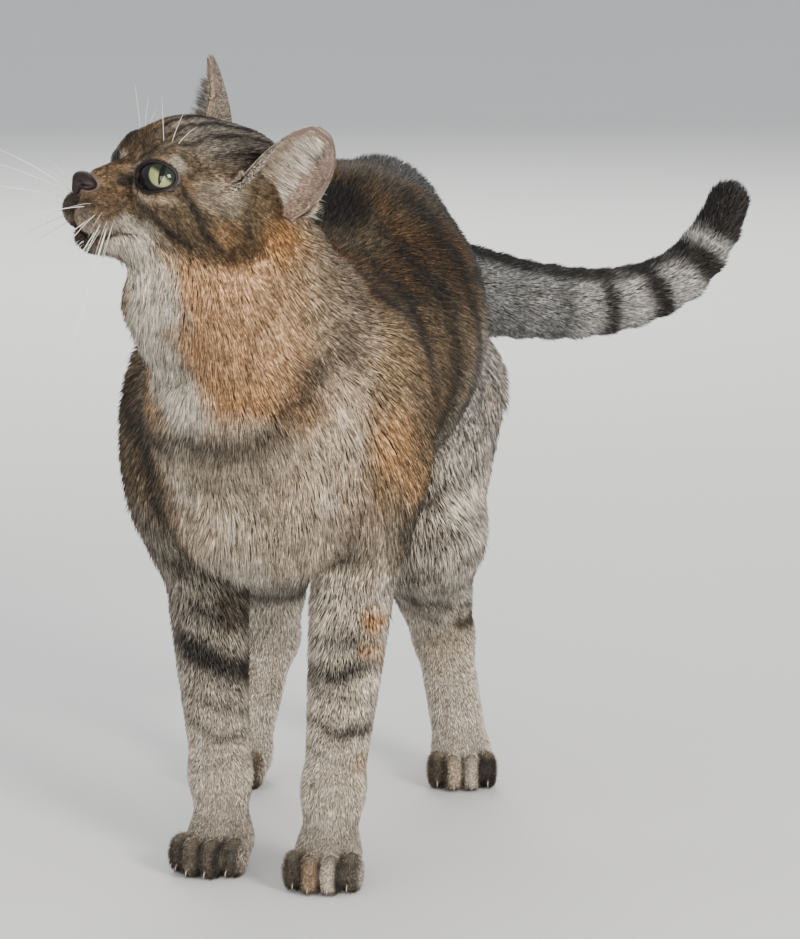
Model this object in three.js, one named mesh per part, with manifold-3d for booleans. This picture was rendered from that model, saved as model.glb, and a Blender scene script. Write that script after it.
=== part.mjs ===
// Adult female shorthair cat, life size, standing with its back arched, its head turned to its right
// and lifted, and its tail swung out to its left with the tip curled up.
// Millimetres. +X is the cat's left, -Y is forward, +Z is up, and the soles stand on Z = 0.
// The flesh, out to the tips of the coat, is one rounded shape, melted together from eggs and tapered
// bars laid along the bones. Thin plane cuts part it into the pieces that a person would name.
import * as THREE from "three";
import { mergeVertices } from "three/addons/utils/BufferGeometryUtils.js";
import Module from "manifold-3d";

const wasm = await Module();
wasm.setup();

const GAP = 0.3; // between any two pieces
const DEGREE = Math.PI / 180;
const SIDES = [
  { name: "left", x: 1 },
  { name: "right", x: -1 },
];

// A frame's turn is about the vertical, its lift raises the front, and its tilt drops the left side.
const HEAD = { at: [-15, -105, 297], turn: -52, lift: 14, tilt: 4 };

// In the head's frame: eyes, nose leather, ears and whiskers.
const EYE = { x: 16.2, y: -28, z: 2.2, radius: 10.5, outward: 33 };
const LIDS = { forward: 8, size: [7.8, 6, 6.8] };
const NOSE = { at: [0, -57, -9], size: [6.2, 4.6, 5] };
const EARS = {
  left: { base: [28.9, 13.5, 2.1], axis: [0.54, 0.14, 0.82], opening: [0.76, -0.6, -0.3], lean: 10 },
  right: { base: [-23, 7, 9], axis: [-0.32, -0.02, 0.94], opening: [-0.35, -0.93, -0.1], lean: 0 },
};
const EAR = { height: 46, halfWidth: 16.5, depth: 12, wall: 2, sunk: 8, bow: 3, forward: 5 };
const WHISKER = { length: 60, root: 0.9, tip: 0.5, droop: 9, perSide: 7 };
const WHISKER_FAN = { left: { from: -4, to: -84 }, right: { from: 24, to: -40 } };

const FORELEGS = {
  left: {
    shoulder: [42, -52, 188], elbow: [32, -46, 134], wrist: [30, -78, 40], paw: [29, -85, 0], turn: 4,
  },
  right: {
    shoulder: [-45, -50, 184], elbow: [-37, -38, 134], wrist: [-24, -62, 40], paw: [-23, -70, 0], turn: -8,
  },
};
const HIND_LEGS = {
  left: { hip: [27, 110, 182], knee: [34, 72, 124], hock: [33, 124, 66], paw: [46, 105, 0], turn: 14 },
  right: { hip: [-24, 104, 182], knee: [-36, 60, 124], hock: [-45, 102, 66], paw: [-54, 83, 0], turn: -10 },
};
const TOES = [
  { x: -11.6, y: -11 },
  { x: -4.2, y: -17 },
  { x: 4.2, y: -17 },
  { x: 11.6, y: -11 },
];
const TAIL = {
  route: [
    [8, 138, 236],
    [24, 160, 226],
    [58, 188, 215],
    [94, 213, 212],
    [124, 233, 222],
    [140, 245, 243],
    [145, 250, 256],
  ],
  rootRadius: 24,
  tipRadius: 11,
  bars: 14,
};

// ---------------------------------------------------------------- shapes as distance fields

const egg = ([cx, cy, cz], [rx, ry, rz]) => (x, y, z) => {
  const [px, py, pz] = [x - cx, y - cy, z - cz];
  const near = Math.hypot(px / rx, py / ry, pz / rz);
  const slope = Math.hypot(px / rx / rx, py / ry / ry, pz / rz / rz);
  return slope > 0 ? (near * (near - 1)) / slope : -Math.min(rx, ry, rz);
};

// A bar with round ends, whose radius changes evenly from ra at a to rb at b.
const bar = (a, b, ra, rb) => (x, y, z) => {
  const [dx, dy, dz] = [b[0] - a[0], b[1] - a[1], b[2] - a[2]];
  const [px, py, pz] = [x - a[0], y - a[1], z - a[2]];
  const along = (px * dx + py * dy + pz * dz) / (dx * dx + dy * dy + dz * dz);
  const t = Math.min(1, Math.max(0, along));
  return Math.hypot(px - dx * t, py - dy * t, pz - dz * t) - ra - (rb - ra) * t;
};

function meltTwo(a, b, reach) {
  const h = Math.max(reach - Math.abs(a - b), 0) / reach;
  return Math.min(a, b) - (h * h * reach) / 4;
}

const melt = (reach, ...fields) => (x, y, z) =>
  fields.reduce((d, field) => meltTwo(d, field(x, y, z), reach), 1e6);

// The first field with the others scooped out of it.
const scoop = (reach, field, ...hollows) => (x, y, z) =>
  hollows.reduce((d, hollow) => -meltTwo(-d, hollow(x, y, z), reach), field(x, y, z));

// A field made in its own frame, put where the frame's matrix says.
function placed(frame, field) {
  const m = frame.clone().invert().elements;
  return (x, y, z) =>
    field(
      m[0] * x + m[4] * y + m[8] * z + m[12],
      m[1] * x + m[5] * y + m[9] * z + m[13],
      m[2] * x + m[6] * y + m[10] * z + m[14],
    );
}

function frameOf({ at: [x, y, z], turn, lift = 0, tilt = 0 }) {
  const spin = new THREE.Euler(-lift * DEGREE, tilt * DEGREE, turn * DEGREE, "ZXY");
  return new THREE.Matrix4().makeRotationFromEuler(spin).setPosition(x, y, z);
}

const inFrame = (frame, [x, y, z]) => new THREE.Vector3(x, y, z).applyMatrix4(frame).toArray();

// ---------------------------------------------------------------- from fields to solids

function solid(points, faces) {
  return new wasm.Manifold(
    new wasm.Mesh({
      numProp: 3,
      vertProperties: new Float32Array(points),
      triVerts: new Uint32Array(faces),
    }),
  );
}

function solidOf(geometry, frame) {
  const bare = geometry.clone().applyMatrix4(frame);
  bare.deleteAttribute("normal");
  bare.deleteAttribute("uv");
  const merged = mergeVertices(bare, 1e-4);
  return solid(merged.attributes.position.array, merged.index.array);
}

const AXES = [0, 1, 2];
const CORNERS = [0, 1, 2, 3, 4, 5, 6, 7];
const CELL_KEYS = 24; // room for the keys of one cell's edges
const bit = (corner, axis) => (corner >> axis) & 1;
const edgeKey = (corner, axis) => axis * CORNERS.length + corner; // the edge from a corner along an axis

const CELL_EDGES = AXES.flatMap((axis) =>
  CORNERS.filter((corner) => !bit(corner, axis)).map((corner) => ({
    key: edgeKey(corner, axis),
    from: corner,
    to: corner | (1 << axis),
  })),
);
const CELL_FACES = AXES.flatMap((axis) =>
  [0, 1].map((side) =>
    CELL_EDGES.filter(({ from, to }) => bit(from, axis) === side && bit(to, axis) === side),
  ),
);

// The crossed edges of one cell, in groups: one group for each sheet of surface in the cell.
function sheetsOf(inside) {
  const crossed = CELL_EDGES.filter(({ from, to }) => inside[from] !== inside[to]);
  const sheet = new Map(crossed.map((edge, n) => [edge.key, n]));
  const join = (a, b) => {
    const [old, now] = [sheet.get(b.key), sheet.get(a.key)];
    sheet.forEach((n, key) => n === old && sheet.set(key, now));
  };
  for (const face of CELL_FACES) {
    const cut = face.filter(({ key }) => sheet.has(key));
    if (cut.length === 2) join(...cut);
    if (cut.length === 4)
      for (const corner of CORNERS.filter((c) => inside[c])) {
        const touching = cut.filter(({ from, to }) => from === corner || to === corner);
        if (touching.length === 2) join(...touching);
      }
  }
  return [...new Set(sheet.values())].map((n) => crossed.filter(({ key }) => sheet.get(key) === n));
}

// Moves a net's vertex down the field's slope to the surface, within its own cell.
const PROBE = 0.2;
const CELL_REACH = 0.4;

function drawnOn(field, start, step) {
  let p = start;
  for (let pass = 0; pass < 3; pass++) {
    const d = field(...p);
    const slope = AXES.map((axis) => {
      const ahead = p.map((v, n) => (n === axis ? v + PROBE : v));
      return (field(...ahead) - d) / PROBE;
    });
    const size = Math.max(0.3, slope[0] ** 2 + slope[1] ** 2 + slope[2] ** 2);
    p = p.map((v, n) => v - (d * slope[n]) / size);
  }
  return p.map((v, n) => {
    const reach = step[n] * CELL_REACH;
    return Math.min(start[n] + reach, Math.max(start[n] - reach, v));
  });
}

const apart = (points, a, b) => Math.hypot(...AXES.map((n) => points[a * 3 + n] - points[b * 3 + n]));

// The closed net of triangles round a field's zero surface: one vertex for each sheet of surface in
// each cell of a grid, and one quad across each crossed edge of the grid.
function net(field, [low, high], step) {
  const [nx, ny, nz] = low.map((v, i) => Math.ceil((high[i] - v) / step[i]) + 1);
  const strides = [1, nx, nx * ny];
  const at = (i, j, k) => (k * ny + j) * nx + i;
  const value = new Float64Array(nx * ny * nz);
  for (let k = 0; k < nz; k++)
    for (let j = 0; j < ny; j++)
      for (let i = 0; i < nx; i++) {
        const rim = !i || !j || !k || i === nx - 1 || j === ny - 1 || k === nz - 1;
        const d = field(low[0] + i * step[0], low[1] + j * step[1], low[2] + k * step[2]);
        value[at(i, j, k)] = rim ? Math.max(d, step[0] / 2) : d;
      }
  const offset = CORNERS.map((c) => AXES.reduce((sum, axis) => sum + bit(c, axis) * strides[axis], 0));
  const points = [];
  const vertexOf = new Map();
  for (let k = 0; k < nz - 1; k++)
    for (let j = 0; j < ny - 1; j++)
      for (let i = 0; i < nx - 1; i++) {
        const cell = at(i, j, k);
        const values = offset.map((o) => value[cell + o]);
        const inside = values.map((v) => v < 0);
        if (inside.every((v) => v) || !inside.some((v) => v)) continue;
        for (const edges of sheetsOf(inside)) {
          const sum = [0, 0, 0];
          for (const { key, from, to } of edges) {
            const t = values[from] / (values[from] - values[to]);
            for (const axis of AXES) sum[axis] += bit(from, axis) + (bit(to, axis) - bit(from, axis)) * t;
            vertexOf.set(cell * CELL_KEYS + key, points.length / 3);
          }
          const middle = [i, j, k].map((n, axis) => low[axis] + (n + sum[axis] / edges.length) * step[axis]);
          const free = i && j && k && i < nx - 2 && j < ny - 2 && k < nz - 2;
          points.push(...(free ? drawnOn(field, middle, step) : middle));
        }
      }
  const faces = [];
  for (let k = 0; k < nz - 1; k++)
    for (let j = 0; j < ny - 1; j++)
      for (let i = 0; i < nx - 1; i++)
        for (const axis of AXES) {
          const here = at(i, j, k);
          const inside = value[here] < 0;
          if (inside === value[here + strides[axis]] < 0) continue;
          const [u, v] = [(axis + 1) % 3, (axis + 2) % 3];
          const ring = [[1, 1], [0, 1], [0, 0], [1, 0]].map(([du, dv]) => {
            const cell = here - du * strides[u] - dv * strides[v];
            return vertexOf.get(cell * CELL_KEYS + edgeKey((du << u) | (dv << v), axis));
          });
          const [a, b, c, d] = inside ? ring : ring.reverse();
          const short = apart(points, a, c) < apart(points, b, d);
          faces.push(...(short ? [a, b, c, a, c, d] : [a, b, d, b, c, d]));
        }
  return solid(points, faces);
}

// A region is the space beyond one plane or more. A plane is a point, and the direction beyond it.
const REGION_SIZE = 400;

function halfSpace([at, toward], shift) {
  const d = new THREE.Vector3(...toward).normalize();
  const spin = new THREE.Quaternion().setFromUnitVectors(new THREE.Vector3(0, 0, 1), d);
  const middle = new THREE.Vector3(...at).addScaledVector(d, REGION_SIZE / 2 + shift);
  const frame = new THREE.Matrix4().compose(middle, spin, new THREE.Vector3(1, 1, 1));
  return solidOf(new THREE.BoxGeometry(REGION_SIZE, REGION_SIZE, REGION_SIZE), frame);
}

const spaceOf = (planes, shift) =>
  planes.map((plane) => halfSpace(plane, shift)).reduce((a, b) => a.intersect(b));

const keep = (...planes) => (piece) => piece.intersect(spaceOf(planes, GAP / 2));
const drop = (...planes) => (piece) => piece.subtract(spaceOf(planes, -GAP / 2));
const without = (other) => (piece) => piece.subtract(other);
const cutBy = (piece, ...cuts) => cuts.reduce((rest, cut) => cut(rest), piece);

// The largest body of a solid, without the crumbs that a cut may leave.
const main = (piece) => piece.decompose().sort((a, b) => b.volume() - a.volume())[0];

// ---------------------------------------------------------------- trunk, neck, legs and tail

const headFrame = frameOf(HEAD);
const inHead = (p) => inFrame(headFrame, p);
const alongHead = ([x, y, z]) => new THREE.Vector3(x, y, z).transformDirection(headFrame).toArray();

const trunk = melt(
  22,
  egg([0, -25, 198], [60, 76, 66]), // rib cage
  egg([1, -80, 186], [50, 38, 60]), // fore chest
  egg([3, 52, 220], [65, 70, 73]), // loins and belly
  egg([4, 110, 222], [42, 54, 69]), // hips
  bar([0, -55, 232], [2, 30, 250], 32, 40), // withers
);

const neck = melt(
  18,
  bar([0, -60, 214], inHead([0, 18, -8]), 50, 27),
  bar([-6, -98, 210], inHead([0, -10, -15]), 38, 23),
  egg([-21, -118, 258], [26, 26, 28]), // throat
);

// A paw with its four toes, in its own frame: toes along -Y, sole at Z = 0.
function pawField(width) {
  const toes = TOES.map(({ x, y }) => egg([x * width, y, 8.4], [5.4 * width, 9.5, 9.6]));
  return melt(4, egg([0, 1, 11], [13 * width, 16, 13.5]), ...toes);
}

function forelegField({ shoulder, elbow, wrist, paw, turn }) {
  const frame = frameOf({ at: paw, turn });
  return melt(
    8,
    melt(20, egg(shoulder, [24, 42, 54]), bar(elbow, wrist, 20, 12.5)),
    bar(wrist, inFrame(frame, [0, 4, 16]), 12.7, 12),
    placed(frame, pawField(1.06)),
  );
}

function hindLegField({ hip, knee, hock, paw, turn }) {
  const frame = frameOf({ at: paw, turn });
  return melt(
    8,
    melt(16, bar(hip, knee, 39, 27), bar(knee, hock, 26, 13.5)),
    bar(hock, inFrame(frame, [0, 3, 16]), 13.2, 12.5),
    placed(frame, pawField(1)),
  );
}

function tailField() {
  const curve = new THREE.CatmullRomCurve3(TAIL.route.map((p) => new THREE.Vector3(...p)));
  const radius = (t) => TAIL.rootRadius + (TAIL.tipRadius - TAIL.rootRadius) * t;
  const bars = Array.from({ length: TAIL.bars }, (_, n) => {
    const [from, to] = [n / TAIL.bars, (n + 1) / TAIL.bars];
    const [a, b] = [from, to].map((t) => curve.getPointAt(t).toArray());
    return bar(a, b, radius(from), radius(to));
  });
  return melt(2, ...bars);
}

// ---------------------------------------------------------------- head, in its own frame

const bothSides = (make) => SIDES.map(({ x }) => make(x));

const skull = melt(
  8,
  egg([0, 2, 4], [28.5, 31, 26]),
  egg([0, -14, 10.5], [21, 22, 18.5]),
  ...bothSides((x) => egg([x * 20.5, -8, -9], [15, 22, 15])), // cheeks
);
const face = melt(
  6,
  bar([0, -27, 4], [0, -53, -7.5], 10, 5.5), // bridge of the nose
  bar([0, -26, -12], [0, -45, -16], 16, 11), // muzzle
  ...bothSides((x) => egg([x * 14.5, -28.5, 12.5], [10, 7, 5])), // brows
  ...bothSides((x) => egg([x * 19.5, -27, -8.5], [10, 10.5, 7.5])), // cheekbones
  ...bothSides((x) => egg([x * 20, -20, 1], [8.5, 8, 9])), // outer rims of the eye sockets
);
const pads = melt(3, ...bothSides((x) => egg([x * 7.3, -49.5, -18.3], [9.3, 9.3, 8.8])));
const jaw = melt(
  5,
  egg([0, -44.5, -28.3], [9, 9, 6.8]), // chin
  ...bothSides((x) => bar([x * 3, -36, -25], [x * 14, -6, -22], 8, 10)),
);
const earHollows = SIDES.map(({ name }) => {
  const { base, axis, opening } = EARS[name];
  return egg(base.map((v, n) => v + opening[n] * 8 + axis[n] * 7), [10, 10, 12]);
});
const head = placed(headFrame, scoop(5, melt(4, melt(8, skull, face), pads, jaw), ...earHollows));

// ---------------------------------------------------------------- the whole flesh

// Each limb melts into the core alone, so that two limbs never melt into each other.
const core = melt(16, melt(18, trunk, neck), head);
const limbs = [
  ...SIDES.map(({ name }) => ({ reach: 14, field: forelegField(FORELEGS[name]) })),
  ...SIDES.map(({ name }) => ({ reach: 18, field: hindLegField(HIND_LEGS[name]) })),
  { reach: 22, field: tailField() },
];

function flesh(x, y, z) {
  const middle = core(x, y, z);
  return Math.min(...limbs.map(({ reach, field }) => meltTwo(middle, field(x, y, z), reach)));
}

// Planes that part it.
const HEAD_BASE = [inHead([0, 13, -16]), [-0.62, -0.42, 0.66]];
const NECK_BASE = [[-2, -80, 238], [-0.14, -0.6, 0.78]];
const WAIST = [[0, 22, 200], [0, 1, 0]];
const TAIL_ROOT = [[26, 161, 224], [0.5, 0.86, -0.1]];
const TAIL_MIDDLE = [[64, 192, 214], [0.82, 0.57, 0]];
const TAIL_TIP = [[116, 228, 218], [0.76, 0.54, 0.36]];
const FLOOR = [[0, 0, -GAP / 2], [0, 0, 1]];
const MUZZLE = [inHead([0, -42, 0]), alongHead([0, -1, 0])];
const MOUTH = [inHead([0, -40, -24]), alongHead([0, 0.12, -1])];
const JAW_BACK = [inHead([0, -30, -28]), alongHead([0, -1, 0.6])];
const FORE = [[0, 0, 0], [0, -1, 0]];
const REAR = [[0, 20, 0], [0, 1, 0]];
const sideOf = (x) => [[0, 0, 0], [x, 0, 0]];

const legCuts = SIDES.map(({ name, x }) => {
  const { elbow, wrist } = FORELEGS[name];
  const { knee, hock } = HIND_LEGS[name];
  return {
    foreleg: [[[elbow[0] - x * 7, elbow[1], 122], [x * 0.42, 0, -0.91]], sideOf(x), FORE],
    forepaw: [[wrist[0], wrist[1], wrist[2] - 8], [0, -0.15, -1]],
    hindleg: [[[knee[0] - x * 3, knee[1], 112], [x * 0.5, 0, -0.86]], sideOf(x), REAR],
    hindpaw: [[hock[0], hock[1], hock[2] - 4], [0, -0.3, -1]],
  };
});

// ---------------------------------------------------------------- eyes, nose, ears and whiskers

function globe([x, y, z], [rx, ry, rz], turn = 0) {
  const spin = new THREE.Quaternion().setFromAxisAngle(new THREE.Vector3(0, 0, 1), turn * DEGREE);
  const local = new THREE.Matrix4().compose(new THREE.Vector3(x, y, z), spin, new THREE.Vector3(rx, ry, rz));
  return solidOf(new THREE.SphereGeometry(1, 12, 8), headFrame.clone().multiply(local));
}

function eyePlace(side, forward) {
  const out = EYE.outward * DEGREE;
  return [side * (EYE.x + Math.sin(out) * forward), EYE.y - Math.cos(out) * forward, EYE.z];
}

const eyeball = (side, spare) =>
  globe(eyePlace(side, 0), Array(3).fill(EYE.radius + spare), side * EYE.outward);
const lidOpening = (side) => globe(eyePlace(side, LIDS.forward), LIDS.size, side * EYE.outward);
const noseLeather = (spare) => globe(NOSE.at, NOSE.size.map((r) => r + spare));

// The closed slab between two grids of points of like size, the first of them outside.
function slab(outer, inner) {
  const [rows, columns] = [outer.length, outer[0].length];
  const points = [...outer.flat(2), ...inner.flat(2)];
  const out = (i, j) => i * columns + j;
  const inn = (i, j) => rows * columns + i * columns + j;
  const faces = [];
  const quad = (a, b, c, d) => faces.push(a, c, b, a, d, c);
  const [top, last] = [rows - 1, columns - 1];
  for (let i = 0; i < top; i++) {
    for (let j = 0; j < last; j++) {
      quad(out(i, j), out(i, j + 1), out(i + 1, j + 1), out(i + 1, j));
      quad(inn(i, j), inn(i + 1, j), inn(i + 1, j + 1), inn(i, j + 1));
    }
    quad(inn(i, 0), out(i, 0), out(i + 1, 0), inn(i + 1, 0));
    quad(out(i, last), inn(i, last), inn(i + 1, last), out(i + 1, last));
  }
  for (let j = 0; j < last; j++) {
    quad(out(0, j), inn(0, j), inn(0, j + 1), out(0, j + 1));
    quad(inn(top, j), out(top, j), out(top, j + 1), inn(top, j + 1));
  }
  return solid(points, faces);
}

// An ear is a cup of skin: its back is bowed, and its rims curl round the opening.
const EAR_GRID = { rows: 8, columns: 7 };
const earWidth = (rise) => EAR.halfWidth * (1.01 - rise) ** 0.6 * (0.87 + 0.75 * rise) + 2.2 * rise;
const earDepth = (rise) => EAR.depth * (1 - rise) ** 0.8 + 2.6;
const earSpan = (rise) => (112 - 28 * rise) * DEGREE;

function earShell({ base, axis, opening, lean }) {
  const up = new THREE.Vector3(...axis).normalize();
  const open = new THREE.Vector3(...opening);
  open.addScaledVector(up, -open.dot(up)).normalize();
  const across = new THREE.Vector3().crossVectors(up, open);
  const grid = (wall) =>
    Array.from({ length: EAR_GRID.rows }, (_, i) => {
      const rise = i / (EAR_GRID.rows - 1);
      const wide = earWidth(rise) - wall * (1 - rise / 2);
      const deep = earDepth(rise) - wall;
      return Array.from({ length: EAR_GRID.columns }, (_, j) => {
        const angle = earSpan(rise) * ((2 * j) / (EAR_GRID.columns - 1) - 1);
        const height = rise * (EAR.height + EAR.sunk - wall * 0.4) - EAR.sunk;
        return new THREE.Vector3(...base)
          .addScaledVector(up, height + lean * Math.sin(angle) * (1 - rise))
          .addScaledVector(across, wide * Math.sin(angle))
          .addScaledVector(open, EAR.forward - deep * Math.cos(angle) - EAR.bow * Math.sin(Math.PI * rise))
          .applyMatrix4(headFrame)
          .toArray();
      });
    });
  return slab(grid(0), grid(EAR.wall));
}

// One whisker: a three-sided bristle along an arc, thick at the root.
const BRISTLE = { steps: 3, sides: 3 };

function bristle(root, toward, length, droop) {
  const { steps, sides } = BRISTLE;
  const d = new THREE.Vector3(...toward).normalize();
  const across = new THREE.Vector3().crossVectors(d, new THREE.Vector3(0, 0, 1)).normalize();
  const over = new THREE.Vector3().crossVectors(across, d);
  const points = [];
  for (let i = 0; i <= steps; i++) {
    const t = i / steps;
    const radius = WHISKER.root + (WHISKER.tip - WHISKER.root) * t;
    const middle = new THREE.Vector3(...root).addScaledVector(d, length * t);
    middle.z -= droop * t * t;
    for (let j = 0; j < sides; j++) {
      const angle = (2 * Math.PI * j) / sides;
      const corner = middle.clone().addScaledVector(across, Math.cos(angle) * radius);
      points.push(...corner.addScaledVector(over, -Math.sin(angle) * radius).toArray());
    }
  }
  const faces = [];
  for (let i = 0; i < steps; i++)
    for (let j = 0; j < sides; j++) {
      const [a, b] = [i * sides + j, i * sides + ((j + 1) % sides)];
      faces.push(a, b, b + sides, a, b + sides, a + sides);
    }
  const end = steps * sides;
  faces.push(0, 2, 1, end, end + 1, end + 2);
  return solid(points, faces);
}

// The whiskers of one side fan out and down from two rows on the pad.
function whiskersOf({ name, x }) {
  const fan = WHISKER_FAN[name];
  return Array.from({ length: WHISKER.perSide }, (_, n) => {
    const t = n / (WHISKER.perSide - 1);
    const row = n % 2;
    const pitch = (fan.from + (fan.to - fan.from) * t) * DEGREE;
    const out = (26 + 22 * row + 10 * t) * DEGREE;
    const root = [x * (7 + 2.5 * row + 5 * t), -50.5 + 5 * t, -15 - 4.5 * t];
    const toward = [
      x * Math.sin(out) * Math.cos(pitch), -Math.cos(out) * Math.cos(pitch), Math.sin(pitch),
    ];
    const length = WHISKER.length * (0.82 + 0.18 * Math.sin(Math.PI * t));
    return bristle(inHead(root), alongHead(toward), length, WHISKER.droop * Math.cos(pitch));
  });
}

// ---------------------------------------------------------------- the named pieces

const material = (color, roughness) => new THREE.MeshStandardMaterial({ color, roughness, metalness: 0 });

const FINISH = {
  coat: material(0x8a7458, 0.9),
  legCoat: material(0x9c8a70, 0.9),
  tailCoat: material(0x8d8a84, 0.9),
  throatCoat: material(0xa58661, 0.9),
  ear: material(0x8f7a6b, 0.8),
  eye: material(0xa9b87a, 0.15),
  nose: material(0x5b3226, 0.5),
  whisker: material(0xe8e2d6, 0.4),
};

const cat = new THREE.Group();

function add(name, finish, piece, ...cuts) {
  const { numProp, vertProperties, triVerts } = main(cutBy(piece, ...cuts)).getMesh();
  const places = new Float32Array((vertProperties.length / numProp) * 3);
  for (let n = 0; n < places.length / 3; n++)
    places.set(vertProperties.subarray(n * numProp, n * numProp + 3), n * 3);
  const geometry = new THREE.BufferGeometry();
  geometry.setAttribute("position", new THREE.BufferAttribute(places, 3));
  geometry.setIndex(new THREE.BufferAttribute(triVerts, 1));
  const mesh = new THREE.Mesh(geometry, finish);
  mesh.name = name;
  cat.add(mesh);
}

const HEAD_BOX = [[-100, -180, 222], [45, -40, 345]];
const HEAD_STEP = [8.2, 8.2, 8.2];
const MUZZLE_STEP = [5.6, 5.6, 5.6];

function addHead() {
  const noNose = without(noseLeather(GAP));
  const openings = SIDES.flatMap(({ x }) => [without(eyeball(x, GAP)), without(lidOpening(x))]);
  const skin = net(flesh, HEAD_BOX, HEAD_STEP);
  add("head", FINISH.coat, skin, keep(HEAD_BASE), drop(MUZZLE), drop(MOUTH, JAW_BACK), noNose, ...openings);
  const muzzle = net(flesh, HEAD_BOX, MUZZLE_STEP);
  add("lower_jaw", FINISH.throatCoat, muzzle, keep(MOUTH, JAW_BACK), keep(HEAD_BASE));
  add("nose", FINISH.nose, noseLeather(0));
  const swollen = (x, y, z) => flesh(x, y, z) - GAP * 1.3;
  const clearOfSkin = without(net(swollen, HEAD_BOX, HEAD_STEP));
  const clearOfMuzzle = without(net(swollen, HEAD_BOX, MUZZLE_STEP));
  for (const side of SIDES) {
    const { name, x } = side;
    const half = keep(MUZZLE, [inHead([0, 0, 0]), alongHead([x, 0, 0])]);
    add(`whisker_pad_${name}`, FINISH.throatCoat, muzzle, half, drop(MOUTH, JAW_BACK), noNose);
    add(`eye_${name}`, FINISH.eye, eyeball(x, 0));
    add(`ear_${name}`, FINISH.ear, earShell(EARS[name]), clearOfSkin);
    whiskersOf(side).forEach((whisker, n) => {
      add(`whisker_${name}_${n + 1}`, FINISH.whisker, whisker, clearOfMuzzle);
    });
  }
}

const TRUNK_STEP = [16, 16, 16];
const NECK_BOX = [[-96, -176, 160], [96, 0, 352]];
const CHEST_BOX = [[-96, -160, 96], [96, 48, 336]];
const REAR_BOX = [[-96, 0, 60], [96, 216, 336]];
const REAR_STEP = [18, 18, 18];

function addTrunk() {
  const [left, right] = legCuts;
  add("neck", FINISH.throatCoat, net(flesh, NECK_BOX, TRUNK_STEP), keep(NECK_BASE), drop(HEAD_BASE));
  const forelegs = [drop(...left.foreleg), drop(...right.foreleg)];
  add("chest", FINISH.coat, net(flesh, CHEST_BOX, TRUNK_STEP), drop(NECK_BASE), drop(WAIST), ...forelegs);
  const rear = cutBy(net(flesh, REAR_BOX, REAR_STEP), keep(WAIST), drop(TAIL_ROOT));
  add("loin_and_hips", FINISH.coat, rear, drop(...left.hindleg), drop(...right.hindleg));
}

function addLegs({ name }, { foreleg, forepaw, hindleg, hindpaw }) {
  const around = ([x, y], half, ahead, behind, top) => [
    [x - half, y - ahead, -10], [x + half, y + behind, top],
  ];
  const fore = FORELEGS[name].paw;
  const hind = HIND_LEGS[name].paw;
  const forelegNet = net(flesh, around(fore, 40, 40, 80, 160), [9, 9, 16]);
  const forepawNet = net(flesh, around(fore, 26, 34, 40, 60), [5.8, 7, 8]);
  const hindlegNet = net(flesh, around(hind, 44, 90, 80, 170), [10, 10, 14]);
  const hindpawNet = net(flesh, around(hind, 30, 34, 54, 100), [6, 7.6, 11]);
  add(`foreleg_${name}`, FINISH.legCoat, forelegNet, keep(...foreleg), drop(forepaw));
  add(`forepaw_${name}`, FINISH.legCoat, forepawNet, keep(forepaw), keep(FLOOR));
  add(`hindleg_${name}`, FINISH.legCoat, hindlegNet, keep(...hindleg), drop(hindpaw));
  add(`hindpaw_${name}`, FINISH.legCoat, hindpawNet, keep(hindpaw), keep(FLOOR));
}

const TAIL_BOX = [[0, 120, 170], [180, 290, 290]];

function addTail() {
  const thick = net(flesh, TAIL_BOX, [12, 10, 10]);
  const thin = net(flesh, TAIL_BOX, [9, 9, 9]);
  add("tail_base", FINISH.tailCoat, thick, keep(TAIL_ROOT), drop(TAIL_MIDDLE));
  add("tail_middle", FINISH.tailCoat, thin, keep(TAIL_MIDDLE), drop(TAIL_TIP));
  add("tail_tip", FINISH.tailCoat, thin, keep(TAIL_TIP));
}

addHead();
addTrunk();
SIDES.forEach((side, n) => addLegs(side, legCuts[n]));
addTail();

// The origin is on the floor, under the middle of the whole box.
const box = new THREE.Box3().setFromObject(cat);
cat.position.set(-(box.min.x + box.max.x) / 2, -(box.min.y + box.max.y) / 2, -box.min.z);

export default cat;
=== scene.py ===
"""A life-size shorthair cat, standing with its back arched, its head turned to its right and lifted,
and its tail swung out to its left: skin, coat, ears, eyes, nose, lips and whiskers over the CAD model.

Lengths are millimetres in the cat's own frame until a mesh is made: +X is the cat's left, -Y is
forward and +Z is up. The flesh is a distance field melted together from eggs and tapered bars, as in
the CAD model. The skin lies inside it by the coat's depth, and the tufts reach out to it."""

import math

import bmesh
import bpy
import numpy as np
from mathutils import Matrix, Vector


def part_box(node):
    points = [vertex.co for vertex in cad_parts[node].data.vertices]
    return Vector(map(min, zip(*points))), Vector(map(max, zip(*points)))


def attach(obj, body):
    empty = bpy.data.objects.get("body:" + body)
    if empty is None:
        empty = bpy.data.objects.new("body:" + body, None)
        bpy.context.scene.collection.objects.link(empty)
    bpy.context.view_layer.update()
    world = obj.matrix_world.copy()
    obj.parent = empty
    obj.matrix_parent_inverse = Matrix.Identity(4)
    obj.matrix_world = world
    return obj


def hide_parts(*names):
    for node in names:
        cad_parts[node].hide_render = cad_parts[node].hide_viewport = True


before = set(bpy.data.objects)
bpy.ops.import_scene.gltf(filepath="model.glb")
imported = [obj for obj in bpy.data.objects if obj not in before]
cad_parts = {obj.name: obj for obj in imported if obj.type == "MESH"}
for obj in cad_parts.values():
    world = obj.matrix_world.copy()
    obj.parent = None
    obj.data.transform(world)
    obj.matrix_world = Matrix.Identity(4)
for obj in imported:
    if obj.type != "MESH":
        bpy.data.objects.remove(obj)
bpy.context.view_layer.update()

SIDES = {"left": 1, "right": -1}
UP = np.array([0.0, 0.0, 1.0])

# ---------------------------------------------------------------- the cat's driving sizes

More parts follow.
